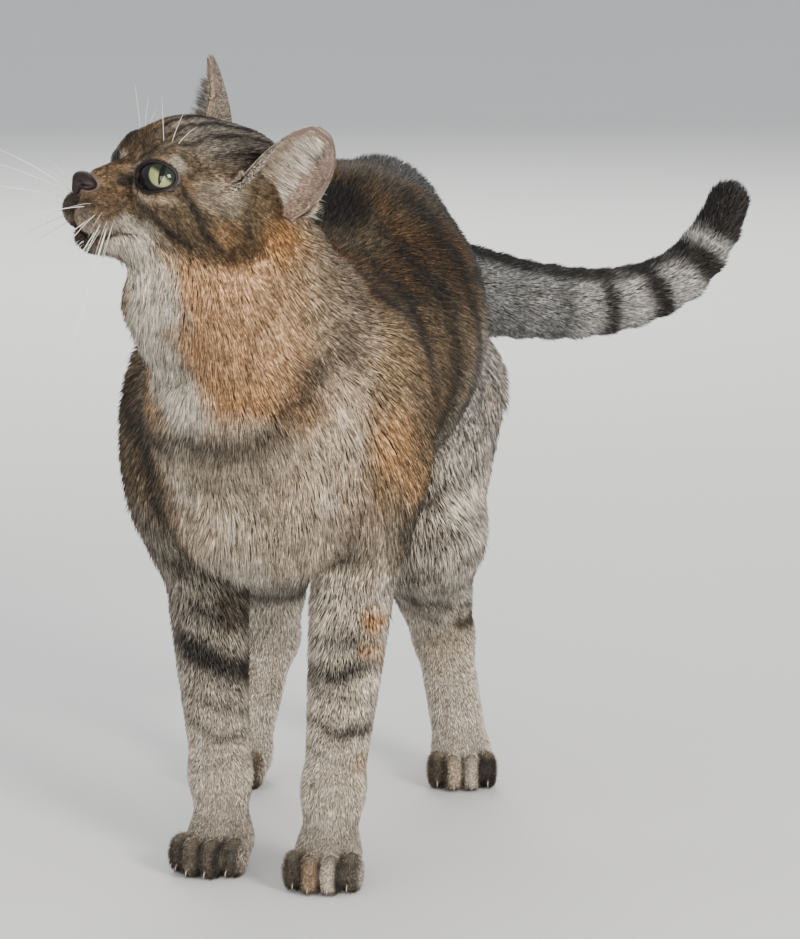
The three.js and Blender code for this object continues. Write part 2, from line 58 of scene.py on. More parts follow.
HEAD = {"at": (-15, -105, 297), "turn": -52, "lift": 14, "tilt": 4}
EYE = {"x": 16.2, "y": -28, "z": 2.2, "radius": 10.5, "outward": 33}
NOSE_TIP = np.array([0, -60.0, -6.5])
EARS = {
    "left": {"base": (28.9, 13.5, 2.1), "axis": (0.54, 0.14, 0.82), "opening": (0.76, -0.6, -0.3),
             "lean": 10},
    "right": {"base": (-23, 7, 9), "axis": (-0.32, -0.02, 0.94), "opening": (-0.35, -0.93, -0.1),
              "lean": 0},
}
EAR = {"height": 46, "half_width": 16.5, "depth": 12, "wall": 1.8, "sunk": 8, "bow": 3, "forward": 5}
WHISKERS = {"left": (-4, -84), "right": (24, -40)}
FORELEGS = {
    "left": {"shoulder": (42, -52, 188), "elbow": (32, -46, 134), "wrist": (30, -78, 40),
             "paw": (29, -85, 0), "turn": 4},
    "right": {"shoulder": (-45, -50, 184), "elbow": (-37, -38, 134), "wrist": (-24, -62, 40),
              "paw": (-23, -70, 0), "turn": -8},
}
HIND_LEGS = {
    "left": {"hip": (27, 110, 182), "knee": (34, 72, 124), "hock": (33, 124, 66),
             "paw": (46, 105, 0), "turn": 14},
    "right": {"hip": (-24, 104, 182), "knee": (-36, 60, 124), "hock": (-45, 102, 66),
              "paw": (-54, 83, 0), "turn": -10},
}
TOES = ((-11.6, -11), (-4.2, -17), (4.2, -17), (11.6, -11))
TAIL_ROUTE = (
    (8, 138, 236), (24, 160, 226), (58, 188, 215), (94, 213, 212), (124, 233, 222), (140, 245, 243),
    (145, 250, 256),
)
TAIL_RADII = (24, 11)
TAIL_BARS = 14


# ---------------------------------------------------------------- vectors, frames and noise

def vec(*values):
    return np.array(values, float)


def unit(v):
    return v / np.maximum(np.linalg.norm(v, axis=-1, keepdims=True), 1e-9)


def dot(a, b):
    return (a * b).sum(-1)


def length_of(v):
    return np.linalg.norm(v, axis=1)


def ease(low, high, x):
    """0 at low, 1 at high, and smooth between them."""
    t = np.clip((x - low) / (high - low), 0, 1)
    return t * t * (3 - 2 * t)


def mix(a, b, t):
    return a + (b - a) * t


class Frame:
    """A place and a turn. Turn is about the vertical, lift raises the front, tilt drops the left side."""

    def __init__(self, at, turn=0, lift=0, tilt=0):
        z, x, y = (math.radians(v) for v in (turn, -lift, tilt))
        spin_z = np.array([[math.cos(z), -math.sin(z), 0], [math.sin(z), math.cos(z), 0], [0, 0, 1]])
        spin_x = np.array([[1, 0, 0], [0, math.cos(x), -math.sin(x)], [0, math.sin(x), math.cos(x)]])
        spin_y = np.array([[math.cos(y), 0, math.sin(y)], [0, 1, 0], [-math.sin(y), 0, math.cos(y)]])
        self.at, self.spin = vec(*at), spin_z @ spin_x @ spin_y

    def inside(self, p):
        return (p - self.at) @ self.spin

    def outside(self, p):
        return np.asarray(p, float) @ self.spin.T + self.at

    def along(self, v):
        return np.asarray(v, float) @ self.spin.T


# Large odd numbers that scramble a lump's place and the seed into a value for that lump.
PLACE_STEPS = (73856093, 19349663, 83492791)
SEED_STEP = 2654435761
SCRAMBLE = 1274126177


def noise(p, size, seed=0):
    """Smooth noise from -1 to 1, with lumps of the given size."""
    q = np.asarray(p, float) / size + 1000
    cell = np.floor(q).astype(np.int64)
    t = q - cell
    t = t * t * (3 - 2 * t)
    total = np.zeros(len(q))
    for corner in np.ndindex(2, 2, 2):
        c = (cell + corner).astype(np.uint64)
        key = np.uint64(seed * SEED_STEP)
        for n, step in enumerate(PLACE_STEPS):
            key = key ^ (c[:, n] * step)
        key = (key ^ (key >> np.uint64(13))) * np.uint64(SCRAMBLE)
        value = ((key ^ (key >> np.uint64(16))) & np.uint64(0xFFFF)).astype(float) / 0x8000 - 1
        total += value * np.where(corner, t, 1 - t).prod(1)
    return total


def noise_vector(p, size, seed):
    return np.stack([noise(p, size, seed + n) for n in range(3)], 1)


# ---------------------------------------------------------------- shapes as distance fields

def egg(centre, radii):
    c, r = np.float32(centre), np.float32(radii)

    def field(p):
        q = (p - c) / r
        near = np.sqrt(np.einsum("ij,ij->i", q, q))
        q /= r
        slope = np.sqrt(np.einsum("ij,ij->i", q, q))
        return near * (near - 1) / np.maximum(slope, 1e-6)

    return field


def bar(a, b, ra, rb):
    """A bar with round ends, whose radius changes evenly from ra at a to rb at b."""
    start, run = np.float32(a), np.float32(b) - np.float32(a)

    def field(p):
        q = p - start
        t = np.clip(q @ run / (run @ run), 0, 1)
        q -= t[:, None] * run
        return np.sqrt(np.einsum("ij,ij->i", q, q)) - ra - (rb - ra) * t

    return field


def melt_two(a, b, reach):
    h = np.maximum(reach - np.abs(a - b), 0) / reach
    return np.minimum(a, b) - h * h * (reach / 4)


def melt(reach, *fields):
    def field(p):
        d = fields[0](p)
        for other in fields[1:]:
            d = melt_two(d, other(p), reach)
        return d

    return field


def scoop(reach, field, *hollows):
    """The first field with the others scooped out of it."""
    def scooped(p):
        d = field(p)
        for hollow in hollows:
            d = -melt_two(-d, hollow(p), reach)
        return d

    return scooped


def placed(place, field):
    spin, at = place.spin.astype(np.float32), place.at.astype(np.float32)
    return lambda p: field((p - at) @ spin)


def both(make):
    return [make(x) for x in SIDES.values()]


# ---------------------------------------------------------------- the flesh, out to the coat's tips

head_frame = Frame(**HEAD)


def in_head(*p):
    return head_frame.outside(p)


trunk_field = melt(
    22,
    egg((0, -25, 198), (60, 76, 66)),  # rib cage
    egg((1, -80, 186), (50, 38, 60)),  # fore chest
    egg((3, 52, 220), (65, 70, 73)),  # loins and belly
    egg((4, 110, 222), (42, 54, 69)),  # hips
    bar((0, -55, 232), (2, 30, 250), 32, 40),  # withers
)
neck_field = melt(
    18,
    bar((0, -60, 214), in_head(0, 18, -8), 50, 27),
    bar((-6, -98, 210), in_head(0, -10, -15), 38, 23),
    egg((-21, -118, 258), (26, 26, 28)),  # throat
)


def paw_field(width):
    """A paw with its toes, in its own frame: toes along -Y, sole at Z = 0."""
    toes = [egg((x * width, y, 8.4), (5.4 * width, 9.5, 9.6)) for x, y in TOES]
    return melt(4, egg((0, 1, 11), (13 * width, 16, 13.5)), *toes)


def paw_frame(leg):
    return Frame(leg["paw"], leg["turn"])


def foreleg_field(leg):
    place = paw_frame(leg)
    return melt(
        8,
        melt(20, egg(leg["shoulder"], (24, 42, 54)), bar(leg["elbow"], leg["wrist"], 20, 12.5)),
        bar(leg["wrist"], place.outside((0, 4, 16)), 12.7, 12),
        placed(place, paw_field(1.06)),
    )


def hind_leg_field(leg):
    place = paw_frame(leg)
    return melt(
        8,
        melt(16, bar(leg["hip"], leg["knee"], 39, 27), bar(leg["knee"], leg["hock"], 26, 13.5)),
        bar(leg["hock"], place.outside((0, 3, 16)), 13.2, 12.5),
        placed(place, paw_field(1)),
    )


def curve_through(route, steps):
    """Points spaced evenly along a smooth curve through the route (centripetal Catmull-Rom)."""
    p = [vec(*point) for point in route]
    p = [2 * p[0] - p[1]] + p + [2 * p[-1] - p[-2]]
    fine = []
    for a, b, c, d in zip(p, p[1:], p[2:], p[3:]):
        knots = np.cumsum([0] + [np.linalg.norm(y - x) ** 0.5 for x, y in ((a, b), (b, c), (c, d))])
        for t in np.linspace(knots[1], knots[2], 24, endpoint=False):
            def blend(x, y, i, j):
                return (x * (knots[j] - t) + y * (t - knots[i])) / (knots[j] - knots[i])
            ab, bc, cd = blend(a, b, 0, 1), blend(b, c, 1, 2), blend(c, d, 2, 3)
            fine.append(blend(blend(ab, bc, 0, 2), blend(bc, cd, 1, 3), 1, 2))
    fine = np.array(fine + [p[-2]])
    reach = np.r_[0, np.cumsum(length_of(np.diff(fine, axis=0)))]
    places = np.linspace(0, reach[-1], steps + 1)
    return np.stack([np.interp(places, reach, fine[:, n]) for n in range(3)], 1)


tail_line = curve_through(TAIL_ROUTE, TAIL_BARS)


def tail_field():
    radii = np.linspace(*TAIL_RADII, TAIL_BARS + 1)
    bars = [bar(tail_line[n], tail_line[n + 1], radii[n], radii[n + 1]) for n in range(TAIL_BARS)]
    return melt(2, *bars)


def eye_place(side, forward=0.0):
    out = math.radians(EYE["outward"])
    return vec(side * (EYE["x"] + math.sin(out) * forward), EYE["y"] - math.cos(out) * forward, EYE["z"])


skull = melt(
    8,
    egg((0, 2, 4), (28.5, 31, 26)),
    egg((0, -14, 10.5), (21, 22, 18.5)),
    *both(lambda x: egg((x * 20.5, -8, -9), (15, 22, 15))),  # cheeks
)
face = melt(
    6,
    bar((0, -27, 4), (0, -53, -7.5), 10, 5.5),  # bridge of the nose
    bar((0, -26, -12), (0, -45, -16), 16, 11),  # muzzle
    *both(lambda x: egg((x * 14.5, -28.5, 12.5), (10, 7, 5))),  # brows
    *both(lambda x: egg((x * 19.5, -27, -8.5), (10, 10.5, 7.5))),  # cheekbones
    *both(lambda x: egg((x * 20, -20, 1), (8.5, 8, 9))),  # outer rims of the eye sockets
)
pads = melt(3, *both(lambda x: egg((x * 7.3, -49.5, -18.3), (9.3, 9.3, 8.8))))
jaw = melt(
    5,
    egg((0, -44.5, -28.3), (9, 9, 6.8)),  # chin
    *both(lambda x: bar((x * 3, -36, -25), (x * 14, -6, -22), 8, 10)),
)


def ear_hollow(ear):
    base, axis, opening = (vec(*ear[key]) for key in ("base", "axis", "opening"))
    return egg(base + opening * 8 + axis * 7, (10, 10, 12))


ear_hollows = [ear_hollow(ear) for ear in EARS.values()]
upper_face = melt(4, melt(8, skull, face), pads)
head_shape = scoop(5, melt(4, upper_face, jaw), *ear_hollows)
head_field = placed(head_frame, head_shape)

limb_fields = {f"foreleg_{side}": foreleg_field(leg) for side, leg in FORELEGS.items()}
limb_fields.update({f"hindleg_{side}": hind_leg_field(leg) for side, leg in HIND_LEGS.items()})
limb_fields["tail"] = tail_field()
# How far each part melts into the one it grows from.
NECK_REACH = 18
HEAD_REACH = 16
LIMB_REACH = {"foreleg_left": 14, "foreleg_right": 14, "hindleg_left": 18, "hindleg_right": 18, "tail": 22}


# ---------------------------------------------------------------- the lie and depth of the coat

class Spine:
    """A line of straight stretches along a part of the body."""

    def __init__(self, *points):
        self.points = np.array([vec(*p) for p in points])
        self.runs = np.diff(self.points, axis=0)
        self.lengths = length_of(self.runs)
        self.starts = np.r_[0, np.cumsum(self.lengths)]

    def near(self, p):
        """For each point: millimetres along, direction, blended at the bends, and offset from the line."""
        best = np.full(len(p), 1e9)
        along = np.zeros(len(p))
        offset = np.zeros((len(p), 3))
        direction = np.zeros((len(p), 3))
        for start, run, length, behind in zip(self.points, self.runs, self.lengths, self.starts):
            t = np.clip((p - start) @ run / length**2, 0, 1)
            away = p - start - t[:, None] * run
            d = length_of(away)
            direction += np.exp(-d / 6)[:, None] * run / length
            nearer = d < best
            best = np.where(nearer, d, best)
            along = np.where(nearer, behind + t * length, along)
            offset = np.where(nearer[:, None], away, offset)
        return along, unit(direction), offset


def leg_spine(leg, *joints):
    place = paw_frame(leg)
    return Spine(*[leg[joint] for joint in joints], place.outside((0, 6, 14)), place.outside((0, -24, 7)))


spines = {
    "trunk": Spine((0, -100, 185), (0, -60, 198), (2, 50, 215), (4, 130, 225)),
    "neck": Spine(in_head(0, 10, -10), (-6, -85, 212)),
    "head": Spine(in_head(0, -52, -12), in_head(0, 12, 2)),
}
for leg_side, leg in FORELEGS.items():
    spines[f"foreleg_{leg_side}"] = leg_spine(leg, "shoulder", "elbow", "wrist")
for leg_side, leg in HIND_LEGS.items():
    spines[f"hindleg_{leg_side}"] = leg_spine(leg, "hip", "knee", "hock")
spines["tail"] = Spine(*tail_line)
REGIONS = tuple(spines)


def head_lie(p):
    """From the nose outwards over the face, parting round the eyes, then back and down the cheeks."""
    h = head_frame.inside(p)
    lie = unit(h - (0, -63, -9)) * vec(1, 1, 1)
    lie[:, 2] -= 0.55 * ease(12, 32, np.abs(h[:, 0])) * ease(10, -25, h[:, 2])
    lie[:, 2] -= 0.5 * ease(-15, -30, h[:, 2])
    return head_frame.along(unit(lie))


def trunk_lie(p):
    front = ease(-50, -100, p[:, 1])[:, None]
    flank = ease(10, 55, np.abs(p[:, 0]))[:, None]
    low = ease(200, 120, p[:, 2])[:, None]
    back = vec(0, 1, -0.1) + flank * vec(0, 0, -0.62) + (1 - flank) * (1 - low) * vec(0, 0, 0.1)
    chest = np.stack([-p[:, 0] * 0.004, 0.25 + 0 * p[:, 0], -1 + 0 * p[:, 0]], 1)
    return unit(mix(back, chest, front))


def neck_lie(p):
    front = ease(-70, -120, p[:, 1])[:, None]
    return unit(mix(vec(0.12, 0.75, -0.6), vec(0.1, 0.12, -1), front))


def limb_lie(region):
    return lambda p: spines[region].near(p)[1]


LIES = {region: limb_lie(region) for region in REGIONS}
LIES.update(head=head_lie, neck=neck_lie, trunk=trunk_lie)


def head_depth(p):
    h = head_frame.inside(p)
    from_nose = length_of(h - NOSE_TIP)
    depth = 0.65 + 0.95 * ease(8, 45, from_nose) + 1.0 * ease(35, 75, from_nose)
    depth += 1.6 * ease(-18, -34, h[:, 2]) * ease(20, 50, from_nose)
    for ear in EARS.values():
        from_ear = h - vec(*ear["base"]) - vec(*ear["opening"]) * 7
        depth *= mix(0.35, 1, ease(10, 22, length_of(from_ear)))
    for side in SIDES.values():
        depth *= mix(0.35, 1, ease(11, 17, length_of(h - eye_place(side))))
    return depth


def leg_depth(p):
    z = p[:, 2]
    return 1.35 + 0.35 * ease(14, 40, z) + 1.6 * ease(50, 110, z) + 1.8 * ease(100, 160, z)


DEPTHS = {region: leg_depth for region in REGIONS}
DEPTHS.update(
    head=head_depth,
    neck=lambda p: 6.5 - 1.5 * ease(-90, -40, p[:, 1]),
    trunk=lambda p: 5.0 + 1.5 * ease(-40, -100, p[:, 1]),
    tail=lambda p: 4.2 - 0.6 * ease(100, 145, p[:, 0]),
)


def region_weights(p):
    """How strongly each region rules at a point, and its field there."""
    near = {"head": head_field(p), "neck": neck_field(p), "trunk": trunk_field(p)}
    near.update({name: field(p) for name, field in limb_fields.items()})
    closest = np.min(list(near.values()), axis=0)
    weights = {name: np.exp((closest - near[name]) / 7) for name in REGIONS}
    total = sum(weights.values())
    return {name: weight / total for name, weight in weights.items()}, near


def flesh(near):
    core = melt_two(melt_two(near["trunk"], near["neck"], NECK_REACH), near["head"], HEAD_REACH)
    return np.min([melt_two(core, near[name], reach) for name, reach in LIMB_REACH.items()], axis=0)


def blended(weights, functions, p):
    total = None
    for name, weight in weights.items():
        mine = weight > 0.01
        if not mine.any():
            continue
        value = functions[name](p[mine])
        total = np.zeros((len(p), *value.shape[1:])) if total is None else total
        total[mine] += weight[mine].reshape((-1,) + (1,) * (value.ndim - 1)) * value
    return total


# ---------------------------------------------------------------- the lids and lips, as fields

LIDS = {"wide": 60, "high": 35, "rise": 6, "slant": 0.12, "thick": 1.0}
MOUTH_CORNER = (-36, -29)


def eye_angles(h, side):
    """How far to the outer side and how far up a point lies as seen from the eye's centre, in degrees."""
    out = math.radians(EYE["outward"])
    q = h - eye_place(side)
    ahead = q @ vec(side * math.sin(out), -math.cos(out), 0)
    across = q @ vec(side * math.cos(out), math.sin(out), 0)
    return np.degrees(np.arctan2(across, ahead)), np.degrees(np.arctan2(q[:, 2], np.hypot(across, ahead)))


def lid_level(h, side):
    """Below 1 in the opening between the lids, and 1 on their edge."""
    across, above = eye_angles(h, side)
    rise = above - LIDS["rise"] - LIDS["slant"] * across
    return np.sqrt(np.abs(across / LIDS["wide"]) ** 1.7 + np.abs(rise / LIDS["high"]) ** 2.1)


def socket(h, side):
    """The space in front of the eye, that the lids leave open."""
    level = (lid_level(h, side) - 1) * 9
    return np.where(length_of(h - eye_place(side)) > 6, level, 6)


def lips_apart(h):
    """Roughly how far a point of the face is from the line between the lips."""
    return np.abs(upper_face(h) - jaw(h)) + 6 * ease(*MOUTH_CORNER, h[:, 1])


def skin(p):
    """The skin's field: the flesh less the coat's depth, with lids over the eyes and a line of lips."""
    weights, near = region_weights(p)
    d = flesh(near) + blended(weights, DEPTHS, p)
    face_points = near["head"] < 12
    h = head_frame.inside(p[face_points])
    e = d[face_points]
    for side in SIDES.values():
        e = melt_two(e, egg(eye_place(side), (EYE["radius"] + LIDS["thick"],) * 3)(h), 3)
        e = -melt_two(-e, socket(h, side), 0.8)
    e = e + 0.9 * np.exp(-(lips_apart(h) / 1.3) ** 2)
    d[face_points] = e
    return d


# ---------------------------------------------------------------- from a field to a mesh

COARSE = 6


def grid_values(field, low, counts, step):
    """The field on a grid: worked out near the surface, and only its sign elsewhere."""
    blocks = [math.ceil(n / COARSE) for n in counts]
    middles = np.stack(np.meshgrid(*[np.arange(n) for n in blocks], indexing="ij"), -1).reshape(-1, 3)
    half = (COARSE - 1) / 2
    centre = (low + (middles * COARSE + half) * step).astype(np.float32)
    rough = field(centre)
    value = np.repeat(np.repeat(np.repeat(rough.reshape(blocks), COARSE, 0), COARSE, 1), COARSE, 2)
    busy = np.abs(rough) < COARSE * step * 1.35
    inner = np.stack(np.meshgrid(*[np.arange(COARSE)] * 3, indexing="ij"), -1).reshape(-1, 3)
    for part in np.array_split(middles[busy], max(1, busy.sum() // 2500)):
        at = (part[:, None, :] * COARSE + inner).reshape(-1, 3)
        value[at[:, 0], at[:, 1], at[:, 2]] = field((low + at * step).astype(np.float32))
    return value


def net(field, low, high, step):
    """The closed net of quads round a field's zero surface: points, and quads facing outwards."""
    low, high = vec(*low), vec(*high)
    value = grid_values(field, low, np.ceil((high - low) / step).astype(int) + 1, step)
    inside = value < 0
    corner_sum = sum(
        inside[i:i - 1 or None, j:j - 1 or None, k:k - 1 or None].astype(np.int8)
        for i, j, k in np.ndindex(2, 2, 2)
    )
    cells = np.argwhere((corner_sum > 0) & (corner_sum < 8))
    number = np.full(corner_sum.shape, -1, np.int64)
    number[tuple(cells.T)] = np.arange(len(cells))
    total, count = np.zeros((len(cells), 3)), np.zeros(len(cells))
    quads = []
    for axis in range(3):
        ahead = np.roll(inside, -1, axis)
        at = np.argwhere(inside != ahead)
        at = at[(at > 0).all(1) & (at < np.array(value.shape) - 1).all(1)]
        beyond = at.copy()
        beyond[:, axis] += 1
        a, b = value[tuple(at.T)], value[tuple(beyond.T)]
        crossing = at.astype(float)
        crossing[:, axis] += a / (a - b)
        u, v = (axis + 1) % 3, (axis + 2) % 3
        ring = []
        for du, dv in ((1, 1), (0, 1), (0, 0), (1, 0)):
            cell = at.copy()
            cell[:, u] -= du
            cell[:, v] -= dv
            ids = number[tuple(cell.T)]
            ring.append(ids)
            for n in range(3):
                total[:, n] += np.bincount(ids, crossing[:, n], len(cells))
            count += np.bincount(ids, minlength=len(cells))
        ring = np.stack(ring, 1)
        outward = inside[tuple(at.T)]
        quads.append(np.where(outward[:, None], ring, ring[:, ::-1]))
    points = low + total / np.maximum(count, 1)[:, None] * step
    return drawn_on(field, points, step), np.concatenate(quads)


def slope_of(field, p, probe=0.25):
    middle = field(p.astype(np.float32))
    slope = [(field((p + probe * np.eye(3)[n]).astype(np.float32)) - middle) / probe for n in range(3)]
    return middle, np.stack(slope, 1)


def drawn_on(field, points, step):
    start = points
    for _ in range(2):
        d, slope = slope_of(field, points)
        points = points - (d / np.maximum(dot(slope, slope), 0.3))[:, None] * slope
    return start + np.clip(points - start, -0.6 * step, 0.6 * step)


# ---------------------------------------------------------------- Blender meshes

eye_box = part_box("eye_left")
shift = (np.array(eye_box[0]) + np.array(eye_box[1])) * 500 - head_frame.outside(eye_place(1))
shift[2] = 0


def metres(p):
    return (np.asarray(p, float) + shift) / 1000


def mesh_piece(name, points, faces, material, outwards=False, **layers):
    """A Blender object from points in millimetres, with a named value layer for each extra argument."""
    mesh = bpy.data.meshes.new(name)
    mesh.from_pydata(metres(points), [], faces)
    mesh.polygons.foreach_set("use_smooth", np.full(len(mesh.polygons), True))
    if outwards:
        solid = bmesh.new()
        solid.from_mesh(mesh)
        bmesh.ops.recalc_face_normals(solid, faces=solid.faces)
        solid.to_mesh(mesh)
        solid.free()
    for layer, values in layers.items():
        if layer == "OFBake":
            corners = np.empty(len(mesh.loops), np.int32)
            mesh.loops.foreach_get("vertex_index", corners)
            places = values[corners].astype(np.float32).ravel()
            mesh.uv_layers.new(name=layer).data.foreach_set("uv", places)
            continue
        kind, key = ("FLOAT", "value") if np.ndim(values) == 1 else ("FLOAT_VECTOR", "vector")
        mesh.attributes.new(layer, kind, "POINT").data.foreach_set(key, np.float32(values).ravel())
    mesh.materials.append(material)
    piece = bpy.data.objects.new(name, mesh)
    bpy.context.scene.collection.objects.link(piece)
    return piece


def rides(piece, slot, *nodes):
    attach(piece, "root")
    if nodes:
        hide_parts(*nodes)
    return piece


# ---------------------------------------------------------------- materials

class Wire:
    """A socket of a shader, that can be used in arithmetic."""

    def __init__(self, shader, socket):
        self.shader, self.socket = shader, socket

    def math(self, operation, *inputs):
        return self.shader.add("ShaderNodeMath", {"operation": operation}, *inputs)

    def __add__(self, other):
        return self.math("ADD", self, other)

    def __sub__(self, other):
        return self.math("SUBTRACT", self, other)

    def __rsub__(self, other):
        return self.math("SUBTRACT", other, self)

    def __mul__(self, other):
        return self.math("MULTIPLY", self, other)

    def __truediv__(self, other):
        return self.math("DIVIDE", self, other)

    def __pow__(self, other):
        return self.math("POWER", self, other)

    def ease(self, low, high):
        """0 at low and 1 at high, smoothly."""
        settings = {"interpolation_type": "SMOOTHSTEP", "clamp": True}
        return self.shader.add("ShaderNodeMapRange", settings, self, low, high, 0, 1)


class Shader:
    """A material with one Principled surface. add() makes any node and gives its first output."""

    def __init__(self, name):
        self.material = bpy.data.materials.new(name)
        self.material.use_nodes = True
        self.tree = self.material.node_tree
        self.surface = self.tree.nodes["Principled BSDF"]

    def add(self, kind, settings, *inputs, output=0, **named):
        node = self.tree.nodes.new(kind)
        for key, value in settings.items():
            setattr(node, key, value)
        sockets = [s for s in node.inputs if s.enabled]
        for socket, value in list(zip(sockets, inputs)) + [(node.inputs[k], v) for k, v in named.items()]:
            self.join(socket, value)
        return Wire(self, [s for s in node.outputs if s.enabled][output])

    def join(self, socket, value):
        if isinstance(value, Wire):
            self.tree.links.new(value.socket, socket)
        elif value is not None:
            socket.default_value = (*value, 1) if isinstance(value, tuple) and len(value) == 3 and (
                socket.type == "RGBA") else value

    def layer(self, name, part=None):
        """A value layer of the mesh, or one part of a vector layer."""
        node = self.tree.nodes.new("ShaderNodeAttribute")
        node.attribute_name = name
        if part is None:
            return Wire(self, node.outputs["Fac"])
        split = self.tree.nodes.new("ShaderNodeSeparateXYZ")
        self.tree.links.new(node.outputs["Vector"], split.inputs[0])
        return Wire(self, split.outputs[part])

    def place(self):
        return self.add("ShaderNodeTexCoord", {}, output=3)

    def blend(self, factor, a, b, kind="MIX"):
        node = self.tree.nodes.new("ShaderNodeMix")
        node.data_type, node.blend_type = "RGBA", kind
        for socket, value in ((node.inputs[0], factor), (node.inputs[6], a), (node.inputs[7], b)):
            self.join(socket, value)
        return Wire(self, node.outputs[2])

    def speckle(self, scale, detail=2.0, stretch=None):
        where = self.place()
        if stretch:
            where = self.add("ShaderNodeMapping", {}, where, Scale=stretch)
        return self.add("ShaderNodeTexNoise", {}, where, Scale=scale, Detail=detail)

    def bumped(self, height, strength, distance):
        return self.add("ShaderNodeBump", {}, Strength=strength, Distance=distance, Height=height)

    def finish(self, **sockets):
        for name, value in sockets.items():
            self.join(self.surface.inputs[name.replace("_", " ")], value)
        return self.material


AGOUTI = (0.68, 0.53, 0.31)
SILVER = (0.52, 0.56, 0.59)
UNDER_TONE = (0.3, 0.26, 0.22)
GINGER = (0.74, 0.38, 0.13)
BLACK = (0.017, 0.014, 0.013)
CREAM = (0.86, 0.79, 0.68)
BARE_SKIN = (0.15, 0.088, 0.074)
SKIN_FLUSH = (0.2, 0.12, 0.11)
# Painted shade: the fur's colour on the skin between the tufts is darkened by this.
PAINTED_SHADE_UNDER_COAT = (0.4, 0.37, 0.34)
DARKEST_TUFT = (0.3, 0.28, 0.26)
LIGHTEST_TUFT = (1.42, 1.42, 1.42)
# The iris's painted_lid_shadow tone is painted shadow of the upper lid.
IRIS = {"deep": (0.15, 0.16, 0.045), "bright": (0.3, 0.3, 0.115), "outer": (0.19, 0.22, 0.105),
        "painted_lid_shadow": (0.009, 0.013, 0.01), "edge": (0.006, 0.004, 0.004)}
PUPIL = (0.002, 0.002, 0.002)
# EAR_TONES' deep tone is painted shade in the hollow by the ear's root.
EAR_TONES = {"dusky": (0.14, 0.105, 0.09), "pink": (0.31, 0.175, 0.145), "vein": (0.3, 0.18, 0.15),
             "deep": (0.02, 0.01, 0.009)}
LID_TONES = ((0.009, 0.005, 0.005), (0.005, 0.003, 0.003))
NOSE_TONES = ((0.014, 0.0065, 0.0055), (0.007, 0.004, 0.004))
WHISKER_TONES = ((0.62, 0.58, 0.52), (0.9, 0.88, 0.84))
HORN_TONES = ((0.16, 0.11, 0.085), (0.4, 0.34, 0.28))
# The slit of the pupil: half its width, and the two half heights that round its ends.
SLIT = (1.1, 5.2, 5.6)


def fur_colour(shader):
    """The markings mix the coat's colours: dark over cream over ginger over agouti or silver."""
    dark, ginger, pale = (shader.layer("markings", part) for part in range(3))
    colour = shader.blend(shader.layer("silver"), AGOUTI, SILVER)
    colour = shader.blend(ginger, colour, GINGER)
    colour = shader.blend(pale, colour, CREAM)
    return shader.blend(dark, colour, BLACK)


def coat_material():
    shader = Shader("coat fur")
    along, shade, ticked = (shader.layer("hair", part) for part in range(3))
    colour = fur_colour(shader)
    # Darker towards the roots: the hair's own darker base, deepened as painted shade between the tufts.
    colour = shader.blend(along.ease(0.65, 0.1), colour, UNDER_TONE, "MULTIPLY")
    flecks = shader.speckle(560, 2).ease(0.42, 0.6) * (1 - shader.layer("markings", 2) * 0.75) * 0.75
    colour = shader.blend(flecks, colour, UNDER_TONE, "MULTIPLY")
    colour = shader.blend(along.ease(0.45, 0.95) * ticked, colour, BLACK)
    colour = shader.blend(1.0, colour, shader.blend(shade, DARKEST_TUFT, LIGHTEST_TUFT), "MULTIPLY")
    return shader.finish(Base_Color=colour, Roughness=0.6, Specular_IOR_Level=0.35)


def skin_material():
    shader = Shader("skin under the coat")
    bare = shader.layer("bare")
    strands = shader.speckle(900, 3, (1, 1, 0.4))
    # Painted shade beneath the tufts: the skin takes the fur's colour, darkened.
    fur = shader.blend(1.0, fur_colour(shader), PAINTED_SHADE_UNDER_COAT, "MULTIPLY")
    fur = shader.blend(strands * 0.6, fur, UNDER_TONE, "MULTIPLY")
    flush = shader.blend(shader.speckle(220), BARE_SKIN, SKIN_FLUSH)
    flush = shader.blend(shader.layer("markings", 0), flush, BLACK)
    colour = shader.blend(bare, fur, flush)
    return shader.finish(Base_Color=colour, Roughness=0.7, Normal=shader.bumped(strands, 0.5, 0.0006))


def eye_material():
    shader = Shader("eye")
    across, up, out = (shader.layer("gaze", part) for part in range(3))
    around = shader.add("ShaderNodeMath", {"operation": "ARCTAN2"}, up, across)
    rays = shader.add("ShaderNodeCombineXYZ", {}, around * 9, out * 0.35, 0)
    fibres = shader.add("ShaderNodeTexNoise", {}, rays, Scale=2.2, Detail=3.0)
    iris = shader.blend(fibres.ease(0.3, 0.7), IRIS["deep"], IRIS["bright"])
    iris = shader.blend(out.ease(3, 5.4), iris, IRIS["outer"])
    # Painted shadow of the upper lid: the iris darkened towards its top.
    iris = shader.blend(shader.layer("shaded"), iris, IRIS["painted_lid_shadow"])
    iris = shader.blend(out.ease(5.0, 6.0), iris, IRIS["edge"])
    slit = (across * across) ** 0.5 / SLIT[0] + (up / SLIT[1]) * (up / SLIT[2])
    colour = shader.blend(slit.ease(1.1, 0.85), iris, PUPIL)
    return shader.finish(Base_Color=colour, Roughness=0.6, Specular_IOR_Level=0.05, Coat_Weight=0.45,
                         Coat_Roughness=0.02)


def leather_material(name, tones, roughness, grain):
    """Bare, finely pebbled skin."""
    shader = Shader(name)
    pebbles = shader.add("ShaderNodeTexVoronoi", {}, shader.place(), Scale=grain)
    colour = shader.blend(shader.speckle(300), *tones)
    return shader.finish(Base_Color=colour, Roughness=pebbles * 0.15 + roughness, Specular_IOR_Level=0.3,
                         Normal=shader.bumped(pebbles, 0.35, 0.0002))


